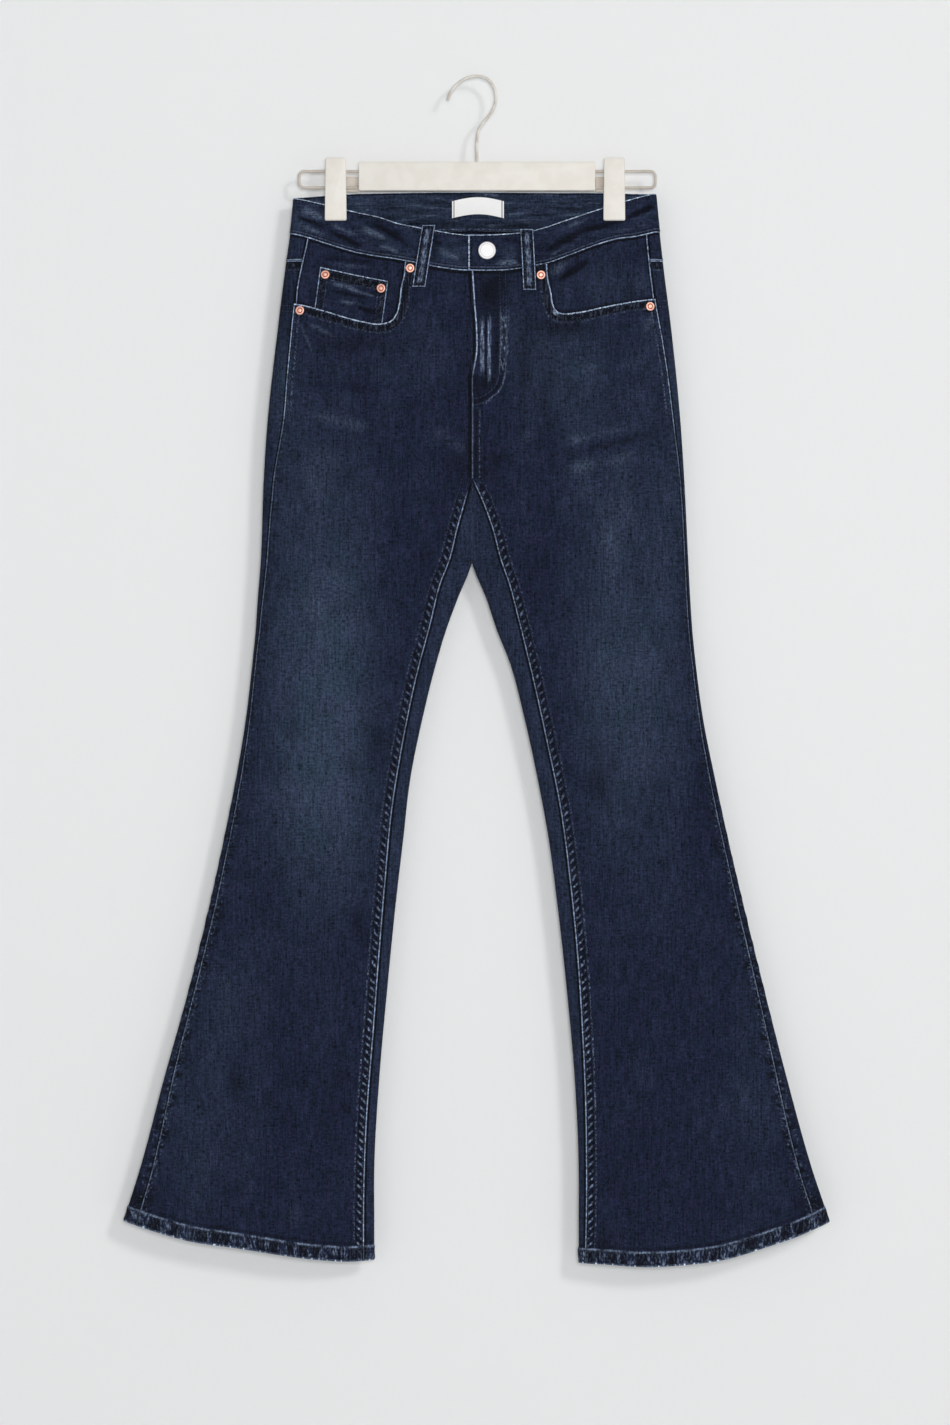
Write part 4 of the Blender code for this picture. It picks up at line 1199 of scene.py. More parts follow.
def panel_relief(ply, inner_away, outer_away):
    """A front panel's seams, puckers and hem in relief."""
    run = ply.below
    top = 1 - ease((run - 330) / 20)
    lift = sewn_edge(inner_away, run, 0.5, 1.0) * ease((run - CROTCH + 20) / 20)
    lift += puckers(inner_away, run, 8.6, 1.5, 10, 0.3, 0.55, 2.0) * ease((run - CROTCH) / 10)
    lift += sewn_edge(outer_away, run, 0.4, 3.0) * (0.25 + 0.75 * top)
    flared = ease((run - 640) / 200)
    lift += puckers(outer_away, run, 22.0, 0.5, 15, 0.45, 0.5, 4.0) * flared
    lift += puckers(outer_away, run, 9.0, 0.5, 9, 0.16, 0.5, 5.0) * (1 - flared)
    return lift + hem_relief(ply)


def hem_relief(ply):
    """The turned hem stands out and is twisted like a rope."""
    away = hem_line(ply.side, ply.tau) - ply.below
    band = ease((HEM_BAND + 0.8 - away) / 1.6)
    drift = 2.2 * wobble(ply.x / 20, ply.x * 0, 6.0)
    rope = np.sin(2 * np.pi * (ply.x + 0.7 * away) / HEM_ROPE + drift)
    return band * (0.7 + 0.3 * rope * ease(away / 3)) - 0.5 * bell(away, 0, 0.9)


def note_all(ply, **more):
    """What every denim piece's look reads, and more that this piece's edges read."""
    where = ply.tau, ply.x, ply.below
    ply.notes.update({
        "across": ply.x, "below": ply.below, "crease": ply.crease,
        "fade": wear_and_shade_at(FADES, *where), "smudge": wear_and_shade_at(DARK_SPOTS_AND_SHADOWS, *where), **more,
    })


def above_level(line, lowest):
    """The part of a line above a level."""
    kept = line[0][:, 2] > -lowest
    return line[0][kept], line[1][kept]


def front_panel(side):
    """A front panel, cut away at its pocket mouth."""
    def top(side, tau):
        return waist_line(side, tau, "seam") + SEAM / 2

    rows, _ = panel_rows(top)
    ply = Ply(*lattice(
        side, rows, spread(GRID["front"]),
        lambda side, below: inseam(side, below, SEAM / 2),
        lambda side, below: outseam(side, below, -SEAM / 2),
    ))
    mouth = mouth_distance(side, ply.x, ply.below)
    ply.lift = panel_relief(ply, ply.run, ply.rest)
    near_mouth = ease((300 - ply.below) / 20)
    ply.lift += near_mouth * 0.45 * bell(mouth, 1.0, 1.2)
    ply.lift += near_mouth * puckers(mouth, ply.x, 5.2, 1.5, 11, 0.16, 0.0, 7.0)
    fly = ply.x - read(FLY_EDGE, "x", ply.below)
    jay = ply.x - read(JAY, "x", ply.below)
    jay = np.where(ply.below > 300, np.sign(jay) * distance_to(JAY_CURVE, ply.x, ply.below), jay)
    if side == "right":
        upper = 1 - ease((ply.below - 300) / 50)
        ply.lift += 0.9 * ease((fly + 0.6) / 1.0) * ease((34 - fly) / 20) * upper
        ply.lift += 0.3 * bell(jay, -3.5, 3.0) * ease((334 - ply.below) / 10)
    seam = ply.run + NO_SEAM * (1 - ease((ply.below - CROTCH + 8) / 8))
    fly = fly + NO_SEAM * ease((ply.below - CROTCH) / 10)
    waist, hem = ply.below - top(side, ply.tau), hem_line(side, ply.tau) - ply.below
    note_all(ply, inner=seam, fly=fly, jay=jay, outer=ply.rest, waist=waist, mouth=mouth,
             hem=hem, trim=mouth)
    edges = [felled(SEAM_START[side]), hemmed, frayed, puckered("mouth", 1.6, 10.0, 2.0, 0.95),
             folded("waist", -0.6, (0.0, 3.6), 0.4), outer_seam]
    if side == "right":
        edges.append(fly_front)
    else:
        edges.append(folded("fly", 9.0, (-4.2, 0.0), 0.0))
    clear = np.where(mouth > 3.0, ply.rest, NO_ROW)
    lines = [ply.follow(seam, away) for away in ROWS["inner"]]
    lines += [ply.follow(hem, ROWS["hem"], False)]
    lines += [above_level(ply.follow(clear, away), OUTER_ROWS_END) for away in ROWS["outer"]]
    lines += [beside(MOUTH_CURVES[side], SIDES[side] * away, 0.45) for away in ROWS["mouth"]]
    if side == "right":
        lines += [beside(JAY_CURVE, away, 1.1) for away in ROWS["fly"]]
    sewn(f"front_{side}", lines)
    thing = wall(f"front_{side}_cloth", [ply], denim(f"denim front {side}", edges, relief=0.65))
    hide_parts(f"front_{side}")


SIDE_WRAP = 60.0  # about how far a back piece runs forward round the side fold
STRIP_FADE = 0.3


def wrapped(side, rows, end):
    """A back piece's two plies: forward round the side fold, and behind."""
    outer = lattice(side, rows, np.linspace(0, 1, GRID["side"]),
                    lambda side, below: outseam(side, below, SEAM / 2), half_turn)
    back = lattice(side, rows, spread(GRID["back"], 0.75), half_turn, end)
    return Ply(*outer), Ply(*back)


def back_panel(side):
    """A back panel: round the side fold, behind, and inside the leg."""
    def top(side, tau):
        return yoke_line(side, tau) + SEAM / 2

    def end(side, below):
        return np.where(below >= FORK, 2 * np.pi, middle_back(side, below))

    def strip_start(side, below):
        return np.where(below >= FORK, 2 * np.pi, 2 * np.pi + middle_front(side, below))

    def strip_end(side, below):
        return 2 * np.pi + np.where(
            below > CROTCH + 1, inseam(side, below, -SEAM / 2), middle_front(side, below)
        )

    rows, first = panel_rows(top)
    strip_rows, strip_shares = rows[first + 1:], np.linspace(0, 1, GRID["strip"])
    outer, back = wrapped(side, rows, end)
    strip = Ply(*lattice(side, strip_rows, strip_shares, strip_start, strip_end))
    lines = []
    for ply, away, inner_away in (
            (outer, outer.run, outer.run + NO_EDGE), (back, back.run + SIDE_WRAP, back.rest),
            (strip, strip.run + NO_EDGE, strip.rest)):
        ply.lift = hem_relief(ply)
        flared = ease((ply.below - 640) / 200)
        ply.lift += puckers(away, ply.below, 22.0, 0.5, 12, 0.4, -0.5, 4.0) * flared
        yoke = ply.below - top(side, ply.tau)
        far = np.full(ply.x.shape, NO_EDGE)
        middle = np.where(ply.below < FORK, inner_away, far) if ply is back else far
        inner = inner_away if ply is strip else far
        hem = hem_line(side, ply.tau) - ply.below
        note_all(ply, outer=away, inner=inner, waist=yoke, middle=middle, hem=hem)
        lines.append(ply.follow(hem, ROWS["hem"], False))
        if ply is strip:
            ply.notes["fade"] = ply.notes["fade"] + STRIP_FADE
        if ply is back:
            lines += [ply.follow(middle, away) for away in ROWS["middle"]]
    sewn(f"back_{side}", lines)
    # Below the yoke's seam, the dark gathered band is partly painted shadow of the felled seam.
    edges = [hemmed, folded("inner", -3.0, (-2.0, 2.4), 0.0),
             folded("outer", -2.0, (-1.0, 1.6), 0.0), folded("waist", 0.6, (1.2, 3.0), 0.8),
             puckered("waist", 1.6, 10.0, 6.0, 0.9), folded("middle", 0.6, (1.2, 3.0), 0.7),
             gathered]
    thing = wall(f"back_{side}_cloth", [outer, back, strip], denim(f"denim back {side}", edges))
    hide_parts(f"back_{side}")


def yoke(side):
    """The piece between the back panel and the band."""
    def top(side, tau):
        return waist_line(side, tau, "seam") + SEAM / 2

    def bottom(side, tau):
        return yoke_line(side, tau) - SEAM / 2

    shares = np.linspace(0, 1, GRID["yoke_rows"])
    outer, back = wrapped(side, [between(top, bottom, share) for share in shares], middle_back)
    lines = []
    for ply, away in ((outer, outer.run), (back, back.run + SIDE_WRAP)):
        low = bottom(side, ply.tau) - ply.below
        waist = ply.below - top(side, ply.tau)
        ply.lift = 0.5 * bell(low, 1.0, 1.2)
        note_all(ply, outer=away, waist=waist, low=low)
        lines += [ply.follow(low, away, False) for away in ROWS["yoke"]]
    sewn(f"yoke_{side}", lines)
    edges = [folded("low", 0.6, (1.4, 3.4), 0.9), folded("waist", -0.6, (0.0, 2.6), 0.4),
             folded("outer", -2.0, (-1.0, 1.6), 0.0)]
    thing = wall(f"yoke_{side}_cloth", [outer, back], denim(f"denim yoke {side}", edges))
    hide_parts(f"yoke_{side}")


def waistband():
    """One strip round the waist, raised at its right end, which laps over the left."""
    def end_at(reach):
        return lambda side, below: tau_at(side, np.full(np.shape(below), reach), below, 0.0)

    def bottom(side, tau):
        return waist_line(side, tau, "seam") - SEAM / 2

    def top(side, tau):
        return waist_line(side, tau, "top")

    def back_end(side, below):
        return np.full(np.shape(below), 1.5 * math.pi)

    rows = [between(top, bottom, share) for share in spread(GRID["band_rows"], 0.6)]
    plies, lines = [], []
    for side, sign in SIDES.items():
        start = end_at(-sign * OVERLAP_REACH + SEAM / 2)
        front = lattice(side, rows, spread(GRID["band_front"], 0.25), start, half_turn, 0.0)
        back = lattice(side, rows, spread(GRID["band_back"], 0.5), half_turn, back_end, 0.0)
        for grid in (front, back):
            ply = Ply(*grid)
            low = bottom(side, ply.tau) - ply.below
            high = ply.below - top(side, ply.tau)
            end = ply.run if grid is front else ply.run + NO_EDGE
            ply.thickness[:] = BAND_CLOTH
            flat = 0.55 + 0.2 * bell(low, 1.2, 1.4)
            rolled = 0.7 * (bell(low, 0, 0.7) + bell(high, 0, 1.0))
            ply.lift = (flat - rolled) * (1 - 0.9 * pinch(ply.x, ply.below))
            if side == "right":
                ply.lift += 0.8 * ease((12 - end) / 8)
            rear = ease(ply.normal[..., 1] * 6 + 0.5)
            note_all(ply, low=low + NO_ROW * rear, high=high + 0.7 * rear, rear=rear,
                     inner_low=low, end=end if side == "right" else end * 0 + NO_EDGE,
                     across=ply.x * (1 if grid is front else -1))
            # The band's inner face behind is painted paler: painted light where it lies in shade.
            ply.notes["fade"] = ply.notes["fade"] + 0.1 + 0.45 * rear
            lines += [ply.follow(low, ROWS["band_low"], False),
                      ply.follow(high, ROWS["band_high"], False)]
            if side == "right" and grid is front:
                lines += [ply.follow(end, ROWS["band_end"])]
            if sign < 0:
                turn_round(ply)
            plies.append(ply)
    sewn("waistband", lines)
    edges = [folded("low", 0.5, (1.1, 2.6), 1.0), folded("low", 3.6, (4.2, 5.4), 0.16, 0.6),
             folded("high", 0.5, (1.1, 3.0), 1.2, 0.8), folded("end", 0.9, (1.8, 4.6), 1.3, 1.0),
             inner_band]
    thing = wall("waistband_cloth", plies, denim("denim waistband", edges, "across", 1.0, 1.6))
    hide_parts("waistband")


def turn_round(ply):
    """Runs a ply's columns the other way."""
    for name in ("tau", "below", "points", "normal", "crease", "run", "rest", "lift", "thickness"):
        setattr(ply, name, getattr(ply, name)[:, ::-1])
    ply.notes = {name: np.asarray(value)[:, ::-1] for name, value in ply.notes.items()}


def on_cloth(face, x, below):
    """A ply that lies on the front or the back, from its points' x and level."""
    plies = []
    for side, sign in SIDES.items():
        tau = tau_at(side, (x - MIDDLE_X) * sign, below, 0.0)
        tau = tau if face == "front" else 2 * np.pi - tau
        plies.append(Ply(side, tau, below, 0.0))
    left, right = plies
    for name in ("points", "normal", "tau", "crease"):
        mine, other = getattr(left, name), getattr(right, name)
        on_right = (x > MIDDLE_X).reshape(x.shape + (1,) * (mine.ndim - x.ndim))
        setattr(left, name, np.where(on_right, other, mine))
    return left


def even_grid(piece):
    """Shares across and down for a small piece's evenly spaced columns and rows."""
    return [np.linspace(0, 1, count) for count in SMALL_GRID[piece]]


def quad(corners, columns, rows):
    """x and below over a four-cornered piece: top outer, top inner, bottom outer, bottom inner."""
    across, down = np.meshgrid(columns, rows)
    top = [corners[0][i] * (1 - across) + corners[1][i] * across for i in (0, 1)]
    bottom = [corners[2][i] * (1 - across) + corners[3][i] * across for i in (0, 1)]
    return [top[i] * (1 - down) + bottom[i] * down for i in (0, 1)] + [across, down]


def facing(side):
    """The cloth inside a pocket mouth, which sinks away from its sewn edges."""
    sign = SIDES[side]
    across, down = np.meshgrid(*even_grid("facing"))
    below = np.full(across.shape, FACING_MIDDLE)
    for _ in range(5):
        outer = read(SECTIONS, f"{side}_side", below)
        outer = outer - read(SEAMS, f"{side}_inset", below) - 2 * SEAM
        x = (MIDDLE_X + sign * outer) * (1 - across) + FACING_INNER[side] * across
        tau = tau_at(side, (x - MIDDLE_X) * sign, below)
        top = waist_line(side, tau, "seam") + 1.5 * SEAM
        below = top * (1 - down) + FACING_BOTTOM * down
    ply = Ply(side, tau, below)
    inside = (abs(x) > abs(MOUTHS[side][0][0])) & (below < mouth_level(side, x))
    clear = np.where(inside, distance_to(MOUTHS[side], x, below), 0.0)
    edge = np.minimum(sign * (MIDDLE_X + sign * outer - x), below - top)
    slope = FACING_SLOPE
    sunk = np.maximum(ease(edge / slope), ease((FACING_FLOOR - clear) / slope))
    ply.points = ply.points - ply.normal * (FACING_RECESS[side] * sunk)[..., None]
    ply.thickness[:] = FACING_CLOTH
    note_all(ply, waist=below - top, outer=abs(MIDDLE_X + sign * outer - x),
             mouth=np.where(inside, clear, 0.0))
    edges = [folded("waist", -0.6, (0.0, 2.6), 0.3), folded("outer", 0.8, (1.6, 3.2), 0.85),
             mouth_shadow]
    thing = wall(f"pocket_facing_{side}_cloth", [ply], denim(f"denim facing {side}", edges))
    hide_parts(f"pocket_facing_{side}")


def coin_pocket():
    """The small pocket on the left facing."""
    x, below, across, down = quad(list(COIN_CORNERS.values()), *even_grid("coin"))
    ply = on_cloth("front", x, below)
    ply.points = ply.points - ply.normal * COIN_RECESS
    ply.thickness[:] = FACING_CLOTH
    width, height = COIN_SIZE
    top, side_edge = down * height, np.minimum(across, 1 - across) * width
    ply.lift = 0.25 * bell(top, 0.8, 1.2) * ease((0.75 - down) * 4)
    note_all(ply, high=top, side=side_edge, across=across * width)
    edges = [folded("high", 0.6, (1.2, 3.4), 1.15, 0.8), puckered("high", 1.6, 11.5, 2.0, 1.3),
             folded("side", 0.5, (1.1, 2.8), 0.75), puckered("side", 1.8, 9.0, 5.0, 0.8, 0.9)]
    lines = [ply.follow(top, away, False) for away in ROWS["coin_top"]]
    inset = ROWS["coin_side"]
    lines += [ply.follow(across * width, away) for away in (inset, width - inset)]
    sewn("coin_pocket", lines)
    thing = wall("coin_pocket_cloth", [ply],
                 denim("denim coin pocket", edges, mottle=1.0, relief=0.85))
    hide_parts("coin_pocket")


def belt_loop(name):
    """A folded strip that stands off the band between its two sewn ends."""
    face, top_x, top, bottom_x, bottom = BELT_LOOPS[name]
    half = BELT_LOOP_WIDTH / 2
    corners = ((top_x - half, top), (top_x + half, top),
               (bottom_x - half, bottom), (bottom_x + half, bottom))
    columns, rows = SMALL_GRID["loop"]
    x, below, across, down = quad(corners, spread(columns), np.linspace(0, 1, rows))
    ply = on_cloth(face, x, below)
    stand = BELT_LOOP_STAND * np.sin(np.pi * down) ** 0.6
    side_edge = np.minimum(across, 1 - across) * BELT_LOOP_WIDTH
    end_edge = np.minimum(down, 1 - down) * (bottom - top)
    ply.points = ply.points + ply.normal * (SEAM + np.maximum(stand, 0))[..., None]
    crown = 0.35 * np.sin(np.pi * across) ** 0.5
    groove = -0.25 * bell(side_edge, 2.6, 0.9)
    ply.lift = LOOP_CLOTH + crown + groove - 0.5 * bell(side_edge, 0, 0.7)
    ply.thickness[:] = 0.0
    note_all(ply, side=side_edge, end=end_edge, across=across * BELT_LOOP_WIDTH)
    edges = [folded("side", 0.6, (1.1, 3.2), 0.8), folded("end", 0.6, (1.2, 4.4), 0.7), loop_wear]
    width, length = BELT_LOOP_WIDTH, bottom - top
    aside, end = ROWS["loop_side"], ROWS["loop_end"]
    lines = [ply.follow(across * width, away) for away in (aside, width - aside)]
    lines += [ply.follow(down * length, away, False) for away in (end, length - end)]
    sewn(f"belt_loop_{name}", lines)
    thing = wall(f"belt_loop_{name}_cloth", [ply], denim(f"denim loop {name}", edges, mottle=0.9))
    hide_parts(f"belt_loop_{name}")


def patch_pocket(side):
    """A back pocket with a pointed foot."""
    across, down = np.meshgrid(*(spread(count) for count in SMALL_GRID["patch"]))
    x = MIDDLE_X + SIDES[side] * (PATCH["inner"] * (1 - across) + PATCH["outer"] * across)
    drop = (PATCH["point"] - PATCH["side"]) * (1 - abs(2 * across - 1))
    below = PATCH["top"] * (1 - down) + (PATCH["side"] + drop) * down
    ply = on_cloth("back", x, below)
    ply.points = ply.points + ply.normal * SEAM
    width, height = PATCH["outer"] - PATCH["inner"], PATCH["side"] - PATCH["top"]
    top, low = down * height, (1 - down) * height
    edge = np.minimum(np.minimum(across, 1 - across) * width, low)
    roll = 0.3 * bell(edge, 1.2, 1.2) + 0.3 * bell(top, 1.0, 1.2)
    ply.lift = CLOTH + roll + puckers(edge, ply.x + ply.below, 7.0, 1.5, 8, 0.12, 0.0, 8.0)
    ply.thickness[:] = 0.0
    note_all(ply, side=edge, high=top)
    edges = [folded("side", 0.6, (1.4, 3.0), 1.0), puckered("side", 2.6, 8.0, 3.0, 1.0, 0.9),
             folded("high", 0.6, (1.4, 3.0), 1.0), puckered("high", 2.6, 16.0, 5.0)]
    place = across * width
    lines = [ply.follow(part, away) for part in (place, width - place) for away in ROWS["patch"]]
    lines += [ply.follow(low, away, False) for away in ROWS["patch"]]
    lines += [ply.follow(top, away, False) for away in ROWS["patch_top"]]
    sewn(f"back_pocket_{side}", lines)
    thing = wall(f"back_pocket_{side}_cloth", [ply], denim(f"denim back pocket {side}", edges))
    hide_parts(f"back_pocket_{side}")


def label():
    """A bare woven label, bowed up a little at its middle."""
    corners = [(LABEL[side], LABEL[end]) for end in ("top", "bottom") for side in SIDES]
    x, below, across, down = quad(corners, *even_grid("label"))
    below = below - LABEL["raised"] - LABEL["arch"] * np.sin(np.pi * across)
    ply = on_cloth("back", x, below)
    ply.points = ply.points - ply.normal * (BAND_CLOTH + SEAM)
    bulge = 0.5 * np.sin(np.pi * across) * np.sin(np.pi * down)
    ply.thickness = LABEL_CLOTH + bulge
    ply.lift = -0.4 * bulge
    note_all(ply, side=np.minimum(across, 1 - across) * (LABEL["right"] - LABEL["left"]))
    look = Look("label weave", roughness=0.75, Sheen_Weight=0.15)
    across, down, away = look.notes("across below side")
    weave = look.flecks(across / 0.4, down / 0.9, detail=1.0)
    cloth = look.mix(weave, LABEL_SHADE, LABEL_WHITE)
    look.set("Base Color", look.mix(away.band(1.9, 0.75) * 0.9, cloth, LABEL_THREAD))
    look.bump(weave, 0.15, 0.5)
    thing = wall("label_cloth", [ply], look.material)
    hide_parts("label")


# Hanger, button and rivets

def block(name, x, y, below, look, node, corner=0.0, flare=1.0):
    """A box with rounded edges, rounder along those that run front to back, and wider at its foot.
    """
    bpy.ops.object.select_all(action="DESELECT")
    ranges = (x, y, [-level for level in below])
    bpy.ops.mesh.primitive_cube_add(
        size=1, location=[sum(ends) / 2 * MM for ends in ranges],
        scale=[abs(ends[1] - ends[0]) * MM for ends in ranges])
    thing = bpy.context.object
    thing.name = name
    bpy.ops.object.transform_apply(location=True, rotation=True, scale=True)
    bpy.ops.object.mode_set(mode="EDIT")
    bpy.ops.mesh.select_mode(type="FACE")
    bpy.ops.mesh.select_all(action="DESELECT")
    bpy.ops.object.mode_set(mode="OBJECT")
    for face in thing.data.polygons:
        face.select = face.normal.z < -0.9
    bpy.ops.object.mode_set(mode="EDIT")
    bpy.ops.transform.resize(value=(flare, 1, 1))
    bpy.ops.mesh.select_mode(type="EDGE")
    bpy.ops.object.mode_set(mode="OBJECT")
    points = thing.data.vertices
    for edge in thing.data.edges:
        first, second = (points[end].co for end in edge.vertices)
        edge.select = abs(first.y - second.y) > 1e-4
    bpy.ops.object.mode_set(mode="EDIT")
    if corner:
        bpy.ops.mesh.bevel(offset=corner * MM, segments=4, affect="EDGES")
    bpy.ops.object.mode_set(mode="OBJECT")
    return rounded(thing, 0.7, look, node)


def rounded(thing, width, look, node):
    """Rounds a finished hard piece's sharp edges and hides the solid it stands for."""
    alone(thing)
    change = thing.modifiers.new("round", "BEVEL")
    change.width = width * MM
    change.segments = 3
    change.limit_method = "ANGLE"
    bpy.ops.object.modifier_apply(modifier="round")
    bpy.ops.object.shade_smooth_by_angle(angle=math.radians(35))
    thing.data.materials.clear()
    thing.data.materials.append(look)
    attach(thing, "root")
    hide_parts(node)
    return thing


def hanger():
    """The bar and clips are made anew, and the wire and the hook get their paint, the clips' inner
    blocks and the wire in painted shade.
    """
    cream = painted("hanger paint", CREAM, CREAM_SHADE, 0.5)
    cream_in_shade = painted("hanger inner plastic in painted shade", CREAM_PAINTED_SHADE, CREAM_PAINTED_DEEP_SHADE, 0.5)
    block("bar", BAR["x"], BAR["y"], BAR["below"], cream, "hanger_bar", 1.5)
    for side, sign in SIDES.items():
        middle, node = CLIP_MIDDLE[side], f"hanger_clip_{side}"
        front, rear, core = ((middle - half, middle + half)
                             for half in (CLIP["half"], CLIP["rear_half"], CLIP["core"]))
        near, far = CLIP["jaw"]
        tongue = sorted((middle - sign * CLIP["core"], sign * CLIP["end"]))
        for name, x, y, look, shape in (
                ("front", front, (-far, -near), cream, (CLIP["corner"], CLIP["flare"])),
                ("rear", rear, (near, far), cream, (CLIP["corner"], CLIP["flare"])),
                ("core", core, CLIP["core_y"], cream_in_shade, ()),
                ("tongue", tongue, CLIP["tongue_y"], cream_in_shade, ())):
            part = block(f"clip_{side}_{name}", x, y, CLIP[f"{name}_below"], look, node, *shape)
    # The wire and the hook are painted darker, as painted shade.
    for name, *tones in (("hanger_wire", CREAM_PAINTED_SHADE, CREAM_PAINTED_DEEP_SHADE), ("hanger_hook", CREAM, CREAM_PAINTED_SHADE)):
        wire = painted(f"{name} paint", *tones, 0.4)
        for slot in bpy.data.objects[name].material_slots:
            slot.material = wire


def turned(name, size, steps, seat, look, node):
    """A disc raised in steps, standing on the cloth at its seat."""
    (radius, depth), (x, below, sunk) = size, seat
    ply = on_cloth("front", np.array([[x, x + 0.1]]), np.array([[below, below]]))
    normal = Vector(ply.normal[0, 0])
    place = Vector(ply.points[0, 0]) + normal * (SEAM - sunk + depth / 2)
    bpy.ops.object.select_all(action="DESELECT")
    bpy.ops.mesh.primitive_cylinder_add(
        vertices=48, radius=radius * MM, depth=depth * MM, location=place * MM,
        rotation=normal.to_track_quat("Z", "Y").to_euler())
    thing = bpy.context.object
    thing.name = name
    bpy.ops.object.transform_apply(location=True, rotation=True, scale=True)
    for face in thing.data.polygons:
        face.select = face.normal.dot(normal) > 0.9
    bpy.ops.object.mode_set(mode="EDIT")
    bpy.ops.mesh.select_mode(type="FACE")
    for inset, rise in steps:
        bpy.ops.mesh.inset(thickness=inset * MM, depth=rise * MM)
    bpy.ops.object.mode_set(mode="OBJECT")
    return rounded(thing, 0.12, look, node), place + normal * depth / 2


# Radius and thickness of each turned piece, and how deep it is sunk: a minus stands off
BUTTON_DISC, BUTTON_SHANK, RIVET_HEAD = (8.3, 1.3), (3.2, 1.9), (4.4, 0.5)
BUTTON_SUNK, SHANK_SUNK, RIVET_SUNK = -1.7, 0.0, -0.25
# Steps: how far in, how far up. Rings: radius, width, how dark.
BUTTON_STEPS = ((0.7, 0.35), (0.5, 0.0), (0.3, -0.22), (0.5, 0.0), (0.4, 0.2), (2.6, 0.12))
# The button's dark rings are painted shade, in its groove and round its rim.
BUTTON_RINGS = ((6.7, 0.7, 0.35), (8.6, 0.9, 0.8))
SHANK_STEPS = ((0.3, 0.05),)
RIVET_STEPS = ((0.55, 0.45), (0.7, 0.1), (0.35, -0.5), (0.65, 0.0), (0.3, 0.5), (0.6, 0.15))
RIVET_RINGS = ((2.3, 0.7, 0.9), (4.8, 0.8, 0.6))


def ringed(look, top, rings, first, second):
    """Colours a turned piece, darker in rings round the middle of its top."""
    place = look.node("ShaderNodeTexCoord", {})[3]
    settings = {"operation": "DISTANCE"}
    away = look.node("ShaderNodeVectorMath", settings, place, tuple(top * MM))[0] / MM
    dark = (look.noise(place, 900.0, 2.0) - 0.5) * 0.3
    for radius, wide, much in rings:
        dark = dark + away.band(radius, wide) * much
    look.set("Base Color", look.mix(dark.clamped(), first, second))


def fasteners():
    """The button in two turned pieces, and the six rivets."""
    silver = Look("button silver", roughness=0.6, metallic=0.05, Specular_IOR_Level=0.25)
    button, top = turned("button_disc", BUTTON_DISC, BUTTON_STEPS, (*BUTTON_AT, BUTTON_SUNK),
                         silver.material, "button")
    ringed(silver, top, BUTTON_RINGS, SILVER, SILVER_SHADE)
    shank, _ = turned("button_shank", BUTTON_SHANK, SHANK_STEPS, (*BUTTON_AT, SHANK_SUNK),
                      silver.material, "button")
    for name, (x, below) in RIVETS.items():
        look = Look(f"copper {name}", roughness=0.46, metallic=0.45)
        sunk = COIN_RECESS if name.startswith("coin") else RIVET_SUNK
        thing, top = turned(f"rivet_{name}_head", RIVET_HEAD, RIVET_STEPS, (x, below, sunk),
                            look.material, f"rivet_{name}")
        ringed(look, top, RIVET_RINGS, COPPER, COPPER_SHADE)


# Camera, light and room

FRAME_WIDTH, FRAME_HEIGHT = 950.0, 1425.0
HANG_PIXEL = (477.0, 76.0)
SENSOR, LENS = 24.0, 85.0
CLOTH_FRONT = 12.0  # the cloth's face is about this far before the hook
WALL_SIZE, FLOOR_SIZE, FLOOR_Z = 7.0, 12.0, -1.62  # metres
SKY, SKY_STRENGTH = (0.985, 0.992, 1.0, 1), 0.24
WALL_BEHIND = 22.0
WALL_LEAN = -0.006  # the wall stands a little farther behind the hems than the hook
LIT_MIDDLE = (0, 0, -0.6)
# Lamps: name, place and width in metres, and power in watts
LAMPS = (
    ("key", (4.6, -7.4, 3.1), 1.9, 205),
    ("front", (0.25, -6.2, -0.35), 1.2, 164),
    ("fill", (-2.5, -4.5, -0.4), 2.5, 10),
    ("rear", (1.5, 3.5, 0.5), 2.5, 90),
)


def camera():
    """Straight on and level, far enough off to frame what the photo frames."""
    data = bpy.data.cameras.new("camera")
    data.sensor_fit = "VERTICAL"
    data.sensor_height, data.lens, data.clip_end = SENSOR, LENS, 40.0
    away = FRAME_HEIGHT * MM * LENS / SENSOR
    thing = linked("camera", data)
    x = (FRAME_WIDTH / 2 - HANG_PIXEL[0]) * MM
    z = (HANG_PIXEL[1] - FRAME_HEIGHT / 2) * MM
    thing.location = (x, -away - CLOTH_FRONT * MM, z)
    thing.rotation_euler = (math.pi / 2, 0, 0)
    bpy.context.scene.camera = thing


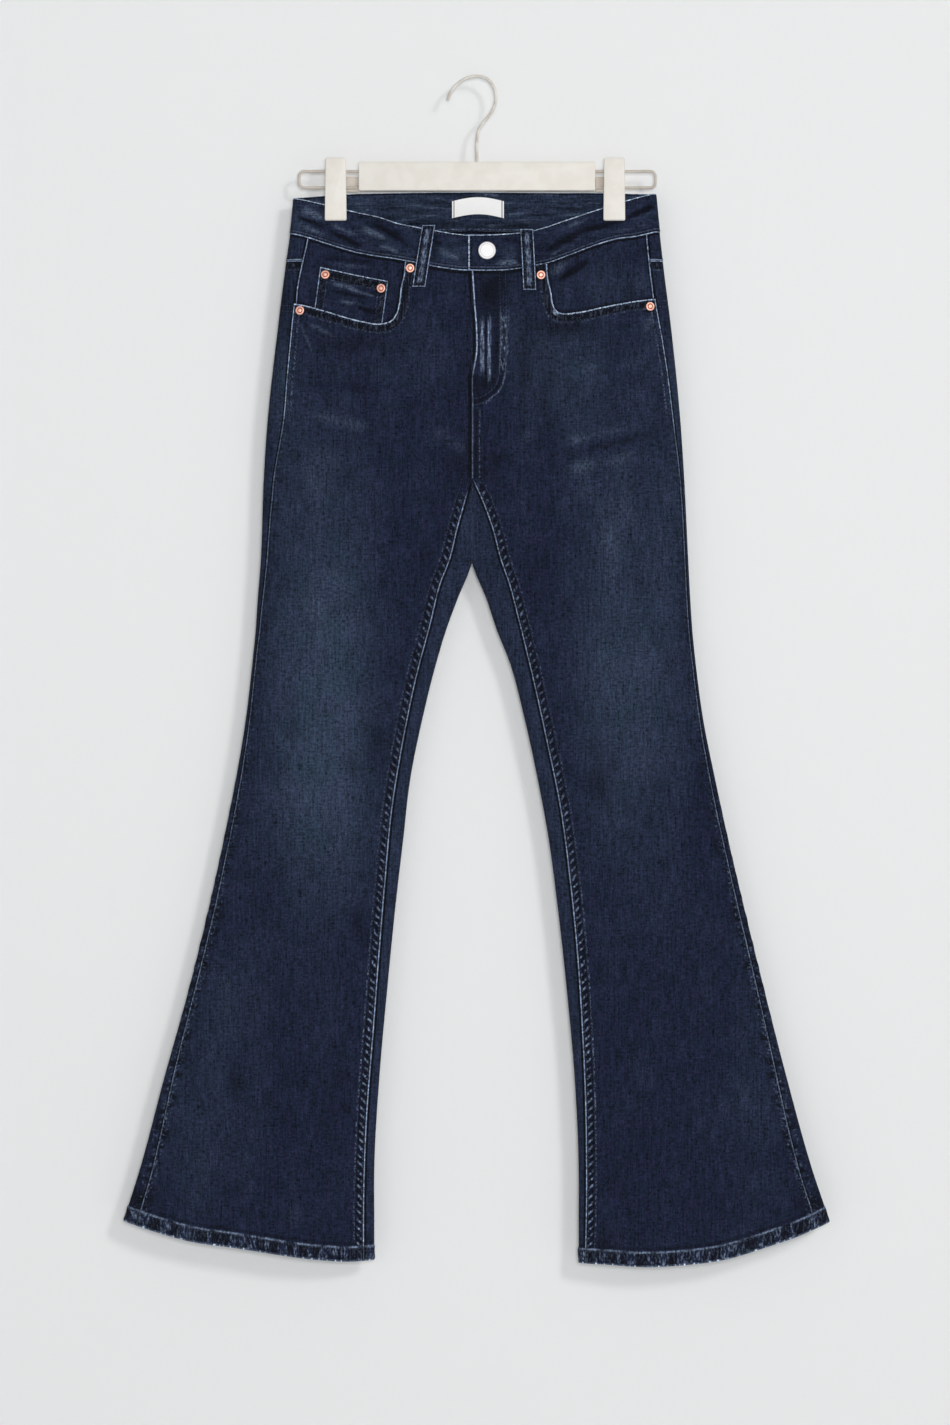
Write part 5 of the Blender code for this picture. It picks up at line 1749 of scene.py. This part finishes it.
def light(name, place, size, power):
    """A soft round lamp that shines at the middle of the jeans."""
    data = bpy.data.lights.new(name, "AREA")
    data.shape = "DISK"
    data.size = size
    data.energy = power
    thing = linked(name, data)
    thing.location = place
    direction = Vector(LIT_MIDDLE) - Vector(place)
    thing.rotation_euler = direction.to_track_quat("-Z", "Y").to_euler()


def room():
    """A pale wall that is seen only from in front, and a pale floor."""
    look = Look("wall paint", roughness=0.95, Specular_IOR_Level=0.1)
    look.set("Base Color", WALL_PAINT)
    behind = look.node("ShaderNodeNewGeometry", {})[6]
    paint = Value(look, look.shader.outputs[0])
    clear = look.node("ShaderNodeBsdfTransparent", {})[0]
    blend = look.node("ShaderNodeMixShader", {}, behind, paint, clear)[0]
    look.join(blend, look.tree.nodes["Material Output"].inputs["Surface"])
    bpy.ops.mesh.primitive_plane_add(size=WALL_SIZE, location=(0, WALL_BEHIND * MM, 0),
                                     rotation=(math.pi / 2 - WALL_LEAN, 0, 0))
    wall_back = bpy.context.object
    wall_back.name = "backdrop"
    wall_back.data.materials.append(look.material)
    wall_back.visible_shadow = wall_back.visible_diffuse = False
    bpy.ops.mesh.primitive_plane_add(size=FLOOR_SIZE, location=(0, 0, FLOOR_Z))
    floor = bpy.context.object
    floor.name = "floor"
    look = Look("floor paint", roughness=0.9)
    look.set("Base Color", FLOOR_PAINT)
    floor.data.materials.append(look.material)


def studio():
    """A faint pale sky and the lamps."""
    world = bpy.data.worlds.new("studio")
    world.use_nodes = True
    sky = world.node_tree.nodes["Background"].inputs
    sky["Color"].default_value = SKY
    sky["Strength"].default_value = SKY_STRENGTH
    bpy.context.scene.world = world
    bpy.context.scene.view_settings.view_transform = "Standard"
    for lamp in LAMPS:
        light(*lamp)


def main():
    camera()
    studio()
    for side in SIDES:
        front_panel(side)
        back_panel(side)
        yoke(side)
        facing(side)
        patch_pocket(side)
    waistband()
    coin_pocket()
    for name in BELT_LOOPS:
        belt_loop(name)
    label()
    hanger()
    fasteners()
    room()


main()
